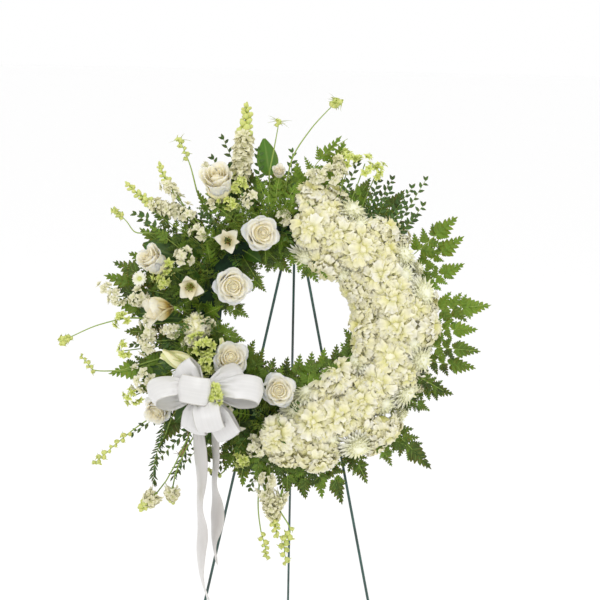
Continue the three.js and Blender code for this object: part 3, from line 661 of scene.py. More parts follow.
# %% [markdown]
# The bow is one length of 57 mm satin ribbon, folded into loops that are gathered and wired at the
# knot. Cloth can't shrink, so where a loop is pinched its spare width stands up in pleats. The
# surface is a band carried along the loop's path; where the band is narrower than the ribbon,
# waves across it use up exactly the width that is left over. A clear coat and a sheen give the
# woven face its broad soft highlights, and light that passes through keeps the loops' insides pale.
# %% Satin ribbon
RIBBON_HALF = 28.5  # half the ribbon's width, millimetres
KNOT = np.array([-190.0, -135.0, 168.0])
satin, satin_tree, satin_skin = finish(
    "woven_satin", Roughness=0.36, Specular_IOR_Level=0.9, Anisotropic=0.4,
    Coat_Weight=0.5, Coat_Roughness=0.36, Sheen_Weight=0.15, Sheen_Roughness=0.35,
    Subsurface_Weight=0.55, Subsurface_Scale=0.004, Subsurface_Radius=(1, 1, 1))
satin_across, satin_along, tail_shade_mark = (marked(satin_tree)[k] for k in range(3))
# Satin's long floats run along the ribbon. Real ones are 0.1 mm apart and too fine to show, so soft
# streaks about 2 mm apart stand for them as faint bumps. In the colour they are painted sheen: the
# silky light and dark lengthwise bands that the floats' reflections make.
streak_place = node(satin_tree, "ShaderNodeCombineXYZ", {"X": satin_across, "Y": satin_along})
streak_scale = node(satin_tree, "ShaderNodeVectorMath", {
    0: streak_place.outputs[0], 1: (7, 0.8, 1)}, operation="MULTIPLY").outputs[0]
streaks = node(satin_tree, "ShaderNodeTexNoise", {"Vector": streak_scale, "Scale": 1.0, "Detail": 3})
satin_colour_with_painted_sheen = ramp(satin_tree, streaks.outputs["Fac"], [(0.25, "D8D6D4"), (0.75, "E1DFDD")])
selvedge = maths(satin_tree, "ABSOLUTE", satin_across)
edge = ramp(satin_tree, selvedge, [(0.93, "FFFFFF"), (0.97, "DEDACF")])
# Painted shade: pieces with a tone of 1, the tails, are painted darker than the loops and the knot, for
# the less light they get hanging below the bow.
painted_tail_shade = ramp(satin_tree, tail_shade_mark, [(0.0, "FFFFFF"), (1.0, "DCD9D7")])
satin_with_painted_tail_shade = blended(satin_tree, 1.0, satin_colour_with_painted_sheen, painted_tail_shade, "MULTIPLY")
satin_both = blended(satin_tree, 1.0, satin_with_painted_tail_shade, edge, "MULTIPLY")
satin_tree.links.new(satin_both, satin_skin.inputs["Base Color"])
raised(satin_tree, satin_skin, streaks.outputs["Fac"], 0.1, 0.001)


def ribbon(path, across, half, pleats=3, curl=-6.0, seed=0, tone=0.0):
    """Each point: the path, plus the narrowed half width times how far across, plus a sine wave
    across the band. The wave's depth times four times its count is the width that is missing."""
    rng = np.random.default_rng(seed)
    q = np.linspace(-1, 1, 8 * pleats + 1)[None, :, None]
    along = unit(np.gradient(path, axis=0))
    across = unit(across - (across * along).sum(-1, keepdims=True) * along)
    normal = np.cross(along, across)
    half = np.minimum(np.broadcast_to(half, len(path)), RIBBON_HALF)[:, None, None]
    spare = np.sqrt(1 - (half / RIBBON_HALF) ** 2)
    depth = spare * 2 * RIBBON_HALF / (4 * pleats) * 0.95
    phase = rng.uniform(-0.6, 0.6)
    uneven = 1 + 0.35 * np.sin(2.1 * q + 5 * phase)
    lift = depth * uneven * np.sin(pleats * np.pi * q + phase) + curl * (1 - q ** 2)
    points = path[:, None] + half * q * across[:, None] + lift * normal[:, None]
    return petals(points[None], 0.7, tone)


def length_of(path):
    """The sum of the distances from point to point, in metres."""
    return float(np.linalg.norm(np.diff(path, axis=0), axis=1).sum() / 1000)


LOOPS = [
    # side, way it points, ribbon's own width axis, length, height
    ("left", [-1, -0.1, 0.1], [0.42, -0.62, 0.66], 100, 44),
    ("right", [1, 0.0, 0.12], [-0.12, -0.86, 0.5], 108, 46),
    ("right_low", [0.5, -0.86, 0.05], [0.85, 0.5, 0.35], 100, 14),
    ("front", [-0.42, 0.08, 0.9], [0.1, 1, 0.05], 50, 60),
    ("low", [0.2, -0.8, 0.5], [1, 0.2, 0.1], 80, 46),
    ("low_left", [-0.2, -0.9, 0.3], [0.95, -0.3, 0.35], 78, 26),
    ("up_left", [-0.7, 0.7, -0.1], [0.6, 0.65, 0.35], 60, 16),
    ("up_right", [0.86, 0.42, -0.1], [0.3, -0.6, 0.7], 74, 26),
]
FRAME_LOOPS = 5  # the first five loops stand for loops of the frame
for seed, (side, toward, width_axis, length, height) in enumerate(LOOPS, 1):
    t = np.linspace(0.3, 2 * np.pi - 0.3, 40)
    toward = unit(toward)
    rise = unit(np.cross(width_axis, toward))
    # A teardrop: it reaches out by one minus cosine, and its two sides part by a sine.
    reach = 8 + length * (1 - np.cos(t)) / 2
    lift = 0.62 * height * np.sin(t) * np.sin(t / 2) ** 0.8
    path = KNOT + reach[:, None] * toward + lift[:, None] * rise
    half = 5 + (RIBBON_HALF - 5) * np.minimum(1, 1.5 * np.sin(t / 2) ** 1.5)
    shape = ribbon(path, np.broadcast_to(width_axis, path.shape), half, seed=seed)
    stands_for = [f"bow_loop_{side}"] if seed <= FRAME_LOOPS else []
    loop = piece(f"satin_loop_{side}", shape, [satin], "satin_ribbon", stands_for)
print("bow loops", len(LOOPS), made[-1])

# %% [markdown]
# The knot is the same ribbon wrapped once round the gathers, and the tails hang free. A tail turns
# about its own length as it falls, so it looks narrow where it stands edge on; the turn is worked
# out from how wide it shows at a few heights.
# %% Knot and tails
t = np.linspace(0, 2 * np.pi * 0.97, 30)
wrap = KNOT + np.stack([9 * np.cos(t - 1.6), 2 * np.cos(t), 12 * np.sin(t - 1.6)], -1)
wrap_axis = np.broadcast_to([0.25, 1.0, 0.0], wrap.shape)
knot_shape = ribbon(wrap, wrap_axis, 11, pleats=2)
knot_wrap = piece("satin_knot", knot_shape, [satin], "satin_ribbon", ["bow_knot"])

TAILS = [
    # side, heights of both ends, then middle and half width at nine even heights
    ("left", (-160, -603), [-201, -203, -199, -196, -202, -192, -199, -197, -177],
     [6, 13, 17, 13, 7, 14, 12, 6, 6]),
    ("right", (-160, -506), [-172, -168, -168, -166, -171, -161, -163, -172, -163],
     [6, 10, 10, 9, 6, 14, 17, 6, 4]),
]


def eased(values, t):
    """A few even values drawn out into one smooth row: straight between them, then averaged over
    a tenth of the length."""
    row = np.interp(t, np.linspace(0, 1, len(values)), values)
    return np.convolve(np.pad(row, 3, mode="edge"), np.ones(7) / 7, mode="valid")


for seed, (side, (top, bottom), middles, shown) in enumerate(TAILS, 11):
    t = np.linspace(0, 1, 60)
    u = eased(middles, t)
    v = top + (bottom - top) * t
    w = KNOT[2] - 24 - (top - v) * np.tan(LEAN)
    path = np.stack([u, v, w], -1)
    full = 7 + (RIBBON_HALF - 7) * np.minimum(1, 5 * t)
    turn = np.arccos(np.clip(eased(shown, t) / full, 0.05, 1))
    axis = np.stack([np.cos(turn), 0 * turn, np.sin(turn)], -1)
    # A tone of 1 paints the tails with the satin's painted shade: darker than the loops, as they hang
    # below them in less light.
    shape = ribbon(path, axis, full, curl=3.0, seed=seed, tone=1.0)
    tail = piece(f"satin_tail_{side}", shape, [satin], "satin_ribbon", [f"bow_tail_{side}"])
    print("the", side, "tail hangs", round(length_of(path), 3), "m")

# %% [markdown]
# All greenery here is one idea: a stalk along a path with leaves laid on it. A leaf is a flat grid
# along its own second axis, and each one is turned onto three axes taken from the stalk. A fern's
# leaf is built of smaller leaves in the same way: a frond carries pinnae, and each pinna carries
# lobes that overlap, so that together they read as one triangular leaf with a cut edge.
# %% Leaves on a stalk


def laid(sheets, origins, ways, ups):
    """Each leaf's second axis on its way, its third as near to its up as it can be."""
    ways = unit(ways)
    side = unit(np.cross(ways, ups))
    axes = np.stack([side, ways, np.cross(side, ways)], -2)
    return origins[:, None, None] + np.einsum("krcx,kxy->krcy", sheets, axes)


def arched(base, tip, bow, steps=9):
    """A path from base to tip that leaves the straight line by a parabola in a direction."""
    base, tip, bow = (np.asarray(k, float) for k in (base, tip, bow))
    t = np.linspace(0, 1, steps)[:, None]
    return base + (tip - base) * t + 4 * t * (1 - t) * bow


def beside(path, t, face):
    """The path's point, direction, sideways and upward axes at some fractions of its length."""
    s = np.linspace(0, 1, len(path))
    way = np.gradient(path, axis=0)
    at, way = (np.stack([np.interp(t, s, k[:, c]) for c in range(3)], -1) for k in (path, way))
    way = unit(way)
    side = unit(np.cross(way, np.asarray(face, float)))
    return at, way, side, np.cross(side, way)


def leafy(path, face, leaf, t, lengths, angle, lift, tone, seed, jitter, stalk=1.1):
    """Two leaves at each fraction t, the second half a step further up, turned from the stalk by an
    angle and lifted out of its plane, and one more leaf at the end. The leaf function takes lengths
    and random bends; jitter says how far a leaf may stray from its angle, lift and roll."""
    rng = np.random.default_rng(seed)
    t, lengths = np.asarray(t, float), np.broadcast_to(lengths, len(t))
    t = np.concatenate([t, t + 0.5 / len(t), [1.0]]).clip(0, 1)
    sign = np.concatenate([np.ones(len(lengths)), -np.ones(len(lengths)), [0.0]])
    lengths = np.concatenate([lengths, lengths, lengths[-1:]]) * rng.uniform(0.9, 1.1, len(t))
    angles = (np.abs(sign) * angle * (1 + jitter * rng.uniform(-1, 1, len(t))))[:, None]
    lifts = (lift + jitter * rng.uniform(-1, 1, len(t)))[:, None]
    at, way, side, up = beside(path, t, face)
    ways = way * np.cos(angles) + side * sign[:, None] * np.sin(angles)
    ups = up - ways * 0.2 + side * sign[:, None] * jitter * rng.uniform(-2, 2, (len(t), 1))
    sheets = leaf(lengths, rng.uniform(-1, 1, len(t)))
    tones = np.clip(tone + rng.uniform(-0.18, 0.18, len(t)), 0, 1)
    leaves = petals(laid(sheets, at, ways + lifts * up, ups), 0.5, tones)
    taper = stalk * np.linspace(1, 0.45, len(path))
    return joined([leaves, tube(path, taper, 5, tone, 1)])


LOBES = 5


def lobed(origins, ways, ups, lengths, tone, seed, spread, rows):
    """Triangular pinnae. Lobe pairs stand along each one at fractions t, leaning further forward
    towards the tip, with lengths that fall as one minus t; a last lobe makes the long point, and a
    narrow blade runs down the middle."""
    rng = np.random.default_rng(seed)
    ways, count = unit(ways), len(origins)
    side = unit(np.cross(ways, ups))
    lengths = np.asarray(lengths, float)[:, None, None]
    t = np.repeat((np.arange(LOBES) + 0.6) / (LOBES + 0.9), 2)[None, :, None]
    sign = np.tile([1.0, -1.0], LOBES)[None, :, None]
    lean = 1.0 - 0.45 * t + rng.uniform(-0.1, 0.1, (count, 2 * LOBES, 1))
    start = origins[:, None] + ways[:, None] * lengths * t
    lobe_ways = ways[:, None] * np.cos(lean) + side[:, None] * sign * np.sin(lean)
    lobe_lengths = (lengths * (spread * (1 - t) ** 0.9 + 0.06))[..., 0]
    point = origins + ways * lengths[:, 0] * 0.66
    middles = [origins[:, None], point[:, None]]
    all_starts = np.concatenate([start, *middles], 1).reshape(-1, 3)
    all_ways = np.concatenate([lobe_ways, ways[:, None], ways[:, None]], 1).reshape(-1, 3)
    tips = np.concatenate([lengths[:, 0] * 0.9, lengths[:, 0] * 0.36], 1)
    sizes = np.concatenate([lobe_lengths, tips], 1)
    ratio = np.full(sizes.shape, 0.29)
    ratio[:, -2:] = [0.07, 0.15]
    bends = rng.uniform(0.1, 0.6, sizes.size)
    sheets = blade(sizes.ravel(), (sizes * ratio).ravel(), bends, rows, 3, 1.0, 0.2)
    all_ups = np.repeat(ups, sizes.shape[1], axis=0) + 0.25 * rng.uniform(-1, 1, all_starts.shape)
    tones = tone + rng.uniform(-0.3, 0.3, (count, 1)) + rng.uniform(-0.06, 0.06, sizes.shape)
    tones = np.clip(tones, 0, 1).ravel()
    return petals(laid(sheets, all_starts, all_ways, all_ups), 0.4, tones)


def leatherleaf(base, tip, bow, face, half, pairs, tone, seed, first=0.42, spread=0.4):
    """A triangular frond: pinnae stand in pairs from a fraction of the way up, the lowest longest,
    and the tip is one more pinna."""
    rng = np.random.default_rng(seed)
    path = arched(base, tip, bow)
    reach = np.linalg.norm(path[-1] - path[0])
    last = min(0.66, 1 - 1.3 * half / reach)
    t = np.repeat(np.linspace(min(first, last), last, pairs), 2) + 0.015 * np.tile([1, -1], pairs)
    at, way, side, up = beside(path, np.append(t, last), face)
    sign = np.append(np.tile([1.0, -1.0], pairs), 0.0)[:, None]
    lean = np.abs(sign) * (0.95 + rng.uniform(-0.12, 0.12, sign.shape))
    ways = way * np.cos(lean) + side * sign * np.sin(lean) + 0.15 * rng.uniform(-1, 1, sign.shape) * up
    ups = up + 0.3 * rng.uniform(-1, 1, up.shape)
    lengths = np.append(half * np.repeat(np.linspace(1.25, 0.85, pairs), 2), reach * (1 - last))
    leaf = lobed(at, ways, ups, lengths * np.append(rng.uniform(0.9, 1.1, 2 * pairs), 1),
                 tone, seed, spread, 4 if pairs == 3 else 3)
    return joined([leaf, tube(path, np.linspace(1.3, 0.6, len(path)), 5, tone, 1)])


# %% [markdown]
# Leatherleaf fern is the collar of the wreath. The big fronds point outwards round the whole ring,
# smaller ones lean over the inner edge, and the rest fill between the flowers on the left. The
# first five are the fronds that the frame also holds.
# %% Leatherleaf fern
FERN = [fern_leaf, green_stem], "fern_leaf"  # the finishes of a frond, and its slot
FRAME_FRONDS = [
    "fern_frond_right", "fern_frond_upper_right", "fern_frond_lower_right", "fern_frond_bottom",
    "fern_frond_left",
]
EDGE_FRONDS = [
    # ring angle, tip across and up, half width, tone
    (8, (418, 53), 44, 0.6), (30, (338, 242), 40, 0.6), (-47, (292, -302), 40, 0.4),
    (-77, (104, -385), 34, 0.3), (170, (-420, 100), 43, 0.5), (18, (354, 140), 34, 0.7),
    (24, (354, 200), 30, 0.75), (-1, (388, -1), 32, 0.55), (-9, (394, -47), 32, 0.35),
    (-16, (386, -84), 32, 0.3), (-27, (338, -142), 38, 0.25), (-58, (254, -262), 38, 0.35),
    (-66, (158, -340), 38, 0.3), (-80, (60, -372), 34, 0.35), (-95, (20, -368), 34, 0.35),
    (-108, (-62, -352), 40, 0.75), (-118, (-112, -350), 40, 0.6), (-136, (-205, -322), 34, 0.35),
    (-150, (-292, -262), 34, 0.4), (205, (-352, -150), 36, 0.35), (198, (-406, -112), 42, 0.5),
    (186, (-376, -20), 34, 0.3), (178, (-402, 45), 40, 0.45), (160, (-368, 150), 40, 0.35),
    (152, (-348, 205), 34, 0.6), (140, (-275, 262), 36, 0.35), (124, (-190, 330), 36, 0.45),
    (112, (-120, 350), 36, 0.6), (100, (-55, 350), 40, 0.6), (90, (-10, 352), 40, 0.6),
    (80, (92, 402), 40, 1.0), (68, (150, 322), 38, 0.5), (54, (222, 296), 36, 0.4),
]
for number, (degrees, tip, half, tone) in enumerate(EDGE_FRONDS):
    level = 24 + 9 * (number % 3)
    end = np.array([*tip, level + 14.0])
    base = on_ring(degrees, 228, level)
    bow = [0, 0, 9 + 4 * (number % 2)]
    frond = leatherleaf(base, end, bow, [0.15, 0.1, 1], 0.88 * half, 3, tone, number)
    piece(f"leatherleaf_edge_{number + 1}", frond, *FERN, FRAME_FRONDS[number:number + 1])
print("edge fronds", len(EDGE_FRONDS), made[-1])

INNER_FRONDS = [
    # ring angle, tip, half width, tone
    (118, (-15, 112), 36, 0.3), (100, (42, 92), 32, 0.5), (86, (60, 100), 26, 0.55),
    (135, (-70, 70), 30, 0.35), (160, (-105, 15), 28, 0.3), (182, (-110, -35), 28, 0.45),
    (205, (-95, -72), 28, 0.4), (232, (-62, -104), 30, 0.3), (248, (-30, -84), 32, 0.4),
    (262, (40, -90), 32, 0.55), (278, (88, -98), 26, 0.5), (292, (116, -58), 22, 0.8),
    (108, (12, 132), 28, 0.35), (254, (5, -110), 28, 0.3), (270, (66, -108), 28, 0.35),
    (330, (98, -4), 26, 0.6), (318, (92, -34), 28, 0.5), (304, (58, -62), 30, 0.55),
    (292, (30, -78), 28, 0.4),
]
for number, (degrees, tip, half, tone) in enumerate(INNER_FRONDS):
    level = 30 + 12 * (number % 3)
    base = on_ring(degrees, 200, level + 20)
    end = [*tip, level + 24.0]
    frond = leatherleaf(base, end, [0, 0, 12], [0, 0, 1], half, 4, tone, 100 + number, 0.2)
    piece(f"leatherleaf_inner_{number + 1}", frond, *FERN)

BAND_FRONDS = [
    # ring angle, radius of its base, tip, half width, tone: a dark band inside the ring's lower
    # edge, and short fronds right below the crescent
    (222, 178, (-92, -32), 32, 0.4), (232, 178, (-72, -48), 34, 0.3), (243, 178, (-48, -68), 34, 0.35),
    (256, 178, (-20, -66), 34, 0.3), (267, 178, (6, -60), 36, 0.25), (276, 178, (31, -54), 36, 0.55),
    (286, 178, (57, -46), 36, 0.6), (297, 178, (83, -38), 36, 0.4), (308, 178, (104, -24), 34, 0.25),
    (320, 178, (127, -8), 30, 0.2), (330, 178, (146, 18), 26, 0.45), (262, 240, (-34, -336), 32, 0.2),
    (270, 240, (2, -342), 32, 0.15), (279, 240, (38, -344), 32, 0.25), (252, 240, (-80, -334), 32, 0.3),
    (240, 225, (-152, -316), 34, 0.2), (246, 225, (-116, -330), 34, 0.25),
    (236, 215, (-122, -268), 30, 0.1), (308, 255, (207, -298), 26, 0.45),
    (327, 255, (286, -176), 24, 0.15), (339, 255, (320, -136), 22, 0.1), (274, 240, (24, -372), 28, 0.35),
    (266, 240, (-16, -366), 28, 0.15), (165, 240, (-398, 128), 28, 0.3), (173, 240, (-394, 72), 28, 0.2),
]
for number, (degrees, radius, tip, half, tone) in enumerate(BAND_FRONDS):
    level = 48 + 7 * (number % 3)
    base = on_ring(degrees, radius, level)
    end = [*tip, level + 14.0]
    frond = leatherleaf(base, end, [0, 0, 10], [0, 0, 1], half, 4, tone, 500 + number, 0.22)
    piece(f"leatherleaf_band_{number + 1}", frond, *FERN)

UPPER_FRONDS = [
    # base, tip, bow, half width, tone: they stand up behind the roses, in front of the collar
    ((0, 232, 40), (98, 402, 72), (-28, 14, 6), 36, 0.95),
    ((-58, 225, 76), (-96, 318, 96), (0, 0, 8), 26, 0.8),
    ((-48, 222, 80), (-44, 322, 98), (-6, 0, 6), 26, 0.9),
    ((-40, 220, 84), (2, 306, 100), (-8, 6, 6), 26, 0.75),
    ((-88, 205, 84), (-148, 262, 112), (0, 0, 8), 22, 0.5),
    ((-70, 210, 90), (-70, 282, 116), (4, 0, 6), 20, 0.95),
    ((-110, 195, 80), (-205, 262, 102), (0, 6, 8), 26, 0.45),
    ((-150, 165, 80), (-232, 206, 112), (0, 0, 8), 24, 0.6),
    ((-30, 225, 84), (-18, 272, 118), (4, 0, 4), 18, 0.85),
    ((-190, 150, 60), (-326, 248, 84), (0, 0, 8), 32, 0.2),
    ((-200, 120, 60), (-322, 208, 88), (0, 0, 8), 32, 0.35),
    ((-150, 170, 66), (-222, 286, 90), (0, 0, 8), 30, 0.3),
    ((-120, 190, 60), (-176, 296, 82), (0, 0, 8), 30, 0.2),
    ((-215, 60, 60), (-290, 100, 88), (0, 0, 8), 28, 0.3),
    ((-205, 90, 60), (-262, 158, 92), (0, 0, 8), 28, 0.15),
    ((-225, 48, 52), (-322, 70, 70), (0, 0, 8), 28, 0.3),
    ((-205, 98, 52), (-290, 130, 74), (0, 0, 8), 26, 0.25),
]
for number, (base, tip, bow, half, tone) in enumerate(UPPER_FRONDS, 1):
    frond = leatherleaf(base, tip, bow, [0.1, 0.0, 1], half, 4, tone, 300 + number, 0.25, 0.28)
    piece(f"leatherleaf_upper_{number}", frond, *FERN)

FILLING = 46
fill_rng = np.random.default_rng(21)
for number in range(FILLING):
    degrees = 96 + 176 * (number + 0.5) / FILLING + fill_rng.uniform(-3, 3)
    tilt = [-38, 34, 2, 52][number % 4] + fill_rng.uniform(-12, 12)
    base = foam_out(degrees, 0.6 * tilt, 20)
    end = foam_out(degrees + fill_rng.uniform(-14, 14), 1.4 * tilt, 80 + fill_rng.uniform(-12, 12))
    half = fill_rng.uniform(18, 26)
    face = unit(end - base) * -0.6 + [0, 0, 1]
    frond = leatherleaf(base, end, [0, 0, 8], face, half, 4, fill_rng.uniform(0.1, 0.9), 200 + number,
                        0.2, 0.28)
    piece(f"leatherleaf_fill_{number + 1}", frond, *FERN)
FRONDS = EDGE_FRONDS, INNER_FRONDS, BAND_FRONDS, UPPER_FRONDS
print("all fronds", sum(len(fronds) for fronds in FRONDS) + FILLING)

# %% [markdown]
# Between the fronds stand broad salal leaves, myrtle sprigs with small leaves on both sides, and
# plumes of fine tree fern. They differ only in the leaf they carry and how close it sits.
# %% Sprigs, plumes and broad leaves


def smooth_leaf(ratio, bend, rows=5, cup=0.35):
    """A leaf function with no teeth: the half width is a share of the length."""

    def leaf(sizes, noise):
        return blade(sizes, ratio * sizes, bend * (1 + 0.5 * noise), rows, cup=cup)

    return leaf


def sprig(base, tip, bow, leaf_length, pairs, tone, seed, ratio=0.25):
    """Myrtle: short pointed leaves on both sides, all the way up the twig."""
    path = arched(base, tip, bow)
    return leafy(path, [0, 0.2, 1], smooth_leaf(ratio, 0.5, rows=4), np.linspace(0.12, 0.95, pairs),
                 leaf_length * np.linspace(1.05, 0.7, pairs), 0.85, 0.3, tone, seed, 0.3)


PLUME_BRANCHES = 13


def plume(base, tip, bow, reach, tone, seed):
    """Tree fern: short side branches, each with fine needles, like a feather of feathers."""
    rng = np.random.default_rng(seed)
    path = arched(base, tip, bow)
    t = np.linspace(0.15, 0.96, PLUME_BRANCHES)
    at, way, side, up = beside(path, t, [0.1, 0.1, 1])
    parts = [tube(path, np.linspace(1.0, 0.4, len(path)), 4, tone, 1)]
    for number in range(PLUME_BRANCHES):
        sign = 1 if number % 2 else -1
        out = unit(way[number] * 0.75 + sign * side[number] + up[number] * rng.uniform(-0.1, 0.5))
        size = reach * (1.05 - 0.6 * t[number])
        branch = arched(at[number], at[number] + out * size, up[number] * 2, 5)
        needle = smooth_leaf(0.09, 0.1, rows=3, cup=0.0)
        parts.append(leafy(branch, up[number], needle, np.linspace(0.15, 0.95, 7), 0.36 * size, 0.8,
                           0.2, tone, seed + number, 0.4, stalk=0.45))
    return joined(parts)


SPRIG = [sprig_leaf, green_stem], "fern_leaf"
SPRIG_SPOTS = [
    # from ring angle and tilt to a tip, leaf length, pairs, tone
    (112, 40, (-92, 372, 60), 19, 9, 0.5), (96, 44, (-20, 372, 56), 18, 8, 0.6),
    (126, 34, (-165, 300, 88), 18, 8, 0.3), (134, 20, (-205, 232, 104), 18, 8, 0.3),
    (150, 44, (-352, 232, 60), 19, 9, 0.4), (58, 44, (196, 318, 52), 18, 9, 0.3),
    (50, 42, (238, 300, 60), 18, 9, 0.35), (42, 42, (268, 318, 50), 17, 9, 0.45),
    (74, 40, (122, 352, 60), 18, 8, 0.4), (214, 48, (-352, -240, 40), 18, 9, 0.3),
    (224, 46, (-300, -300, 40), 18, 10, 0.35), (232, 44, (-250, -318, 44), 17, 9, 0.4),
    (240, 40, (-172, -330, 56), 18, 9, 0.3), (256, 42, (-96, -352, 48), 18, 9, 0.35),
    (266, 42, (-30, -345, 48), 17, 8, 0.3), (112, 42, (-168, 396, 66), 19, 9, 0.2),
    (122, 40, (-188, 352, 76), 18, 8, 0.3), (148, 40, (-330, 262, 66), 21, 7, 0.7),
    (152, 40, (-334, 228, 70), 21, 7, 0.6), (48, 40, (222, 262, 74), 19, 8, 0.3),
    (52, 38, (190, 292, 72), 19, 8, 0.25), (44, 40, (246, 236, 70), 19, 8, 0.35),
    (56, 42, (166, 318, 66), 19, 8, 0.2), (40, 44, (262, 262, 62), 19, 8, 0.3),
    (274, -30, (18, -98, 62), 16, 7, 0.5), (190, 42, (-352, -48, 60), 18, 9, 0.4),
    (168, 40, (-352, 60, 66), 18, 8, 0.35),
]
for number, (degrees, tilt, tip, leaf_length, pairs, tone) in enumerate(SPRIG_SPOTS):
    twig = sprig(foam_out(degrees, tilt, 26), tip, [0, 0, 9], leaf_length, pairs, tone, number)
    piece(f"myrtle_sprig_{number + 1}", twig, *SPRIG)

MYRTLE_FILLING = 26
for number in range(MYRTLE_FILLING):
    degrees = 94 + 178 * (number + 0.5) / MYRTLE_FILLING + fill_rng.uniform(-3, 3)
    tilt = [20, -28, 44, -4][number % 4] + fill_rng.uniform(-10, 10)
    base = foam_out(degrees, tilt, 22)
    end = foam_out(degrees + fill_rng.uniform(-8, 8), tilt, 104 + fill_rng.uniform(-10, 14))
    bow = fill_rng.uniform(-7, 7, 3)
    twig = sprig(base, end, bow, 18, 7, fill_rng.uniform(0.1, 0.8), 50 + number, 0.26)
    piece(f"myrtle_fill_{number + 1}", twig, *SPRIG)

PLUMES = [
    # ring angle, tilt, tip, reach of the lowest side branch, tone
    (98, 6, (-28, 248, 122), 24, 0.75), (92, -6, (8, 218, 112), 24, 0.85),
    (104, 22, (-62, 262, 104), 24, 0.8), (88, 16, (22, 258, 108), 22, 0.7),
    (116, 20, (-118, 250, 112), 24, 0.6), (122, 4, (-150, 232, 108), 22, 0.5),
    (96, 34, (-32, 318, 92), 24, 0.65), (186, -14, (-178, -10, 112), 22, 0.4),
    (176, 6, (-205, 20, 112), 22, 0.35), (244, -8, (-62, -178, 104), 22, 0.5),
    (238, 30, (-122, -300, 80), 24, 0.45), (206, 40, (-318, -128, 70), 22, 0.5),
    (268, 30, (-18, -318, 66), 24, 0.4), (250, 46, (-78, -368, 44), 22, 0.5),
    (142, 30, (-262, 212, 92), 22, 0.55),
]
PLUME_FILLING = 18
PLUME_ANGLES = [100, 118, 130, 142, 156, 168, 190, 205, 226, 244, 258]
for number in range(PLUME_FILLING):
    degrees = PLUME_ANGLES[number % len(PLUME_ANGLES)] + fill_rng.uniform(-5, 5)
    tilt = fill_rng.uniform(-10, 46)
    tip = foam_out(degrees + fill_rng.uniform(-8, 8), 1.1 * tilt, 84 + fill_rng.uniform(0, 22))
    PLUMES.append((degrees, 0.7 * tilt, tuple(tip), 24, fill_rng.uniform(0.2, 0.9)))
for number, (degrees, tilt, tip, reach, tone) in enumerate(PLUMES):
    feather = plume(foam_out(degrees, tilt, 24), tip, [0, 0, 6], reach, tone, 10 * number)
    piece(f"tree_fern_plume_{number + 1}", feather, [plume_leaf, green_stem], "fern_leaf")

BROAD_LEAVES = [
    # ring angle, tilt, tip, ratio of half width to length, tone
    (128, -20, (-84, 138, 96), 0.36, 0.2), (140, 10, (-196, 178, 118), 0.34, 0.25),
    (150, -34, (-108, 92, 84), 0.36, 0.2), (166, 10, (-228, 112, 104), 0.34, 0.15),
    (188, 10, (-222, -32, 106), 0.36, 0.15), (196, -20, (-132, -36, 92), 0.36, 0.2),
    (212, -6, (-172, -60, 110), 0.34, 0.2), (222, -30, (-110, -112, 90), 0.36, 0.15),
    (246, 8, (-68, -206, 108), 0.36, 0.2), (254, -12, (-28, -188, 96), 0.34, 0.2),
    (236, -6, (-96, -150, 104), 0.36, 0.25), (170, 40, (-306, 62, 70), 0.34, 0.2),
    (178, 36, (-296, 12, 74), 0.32, 0.3), (186, 38, (-300, -52, 68), 0.34, 0.2),
    (163, 38, (-290, 112, 76), 0.32, 0.25), (144, 36, (-268, 190, 84), 0.32, 0.3),
    (194, 30, (-282, -96, 80), 0.32, 0.2), (226, 36, (-196, -252, 76), 0.3, 0.2),
    (216, 40, (-262, -214, 66), 0.3, 0.25), (150, 46, (-338, 172, 70), 0.3, 0.3),
    (176, 46, (-352, 22, 66), 0.3, 0.2), (200, 46, (-346, -92, 62), 0.3, 0.25),
    (104, 44, (-80, 404, 66), 0.27, 0.9), (258, 34, (-48, -296, 74), 0.34, 0.15),
    (242, 38, (-142, -262, 66), 0.34, 0.2), (120, 44, (-152, 352, 66), 0.3, 0.25),
]
for number, (degrees, tilt, tip, ratio, tone) in enumerate(BROAD_LEAVES):
    base = foam_out(degrees, tilt, 20)
    tip = np.array(tip, float)
    reach = np.linalg.norm(tip - base)
    length = min(0.7 * reach, 84)
    start = tip - (tip - base) * length / reach
    sheet = blade([length], [length * ratio], [0.45], 9, 5, 1.0, 0.25)
    up = unit([0.1, 0.15, 1.0])
    leaf = petals(laid(sheet, start[None], (tip - base)[None], up[None]), 0.7, tone)
    stalk = tube(np.linspace(base, start + (tip - start) * 0.1, 5), 1.3, 5, 0.3, 1)
    piece(f"salal_leaf_{number + 1}", joined([leaf, stalk]), [broad_leaf, green_stem], "fern_leaf")
print("sprigs", len(SPRIG_SPOTS) + MYRTLE_FILLING, "plumes", len(PLUMES), "leaves", len(BROAD_LEAVES))

# %% [markdown]
# Stock is a spike of small ruffled flowers that open from the bottom up: full cream florets below,
# then greenish ones, and tight lime buds at the tip. The florets sit on a golden-angle spiral round
# the stalk. One function makes all of them, because a single small white flower of the filling is
# the same thing on a short stalk.
# %% Florets and spikes


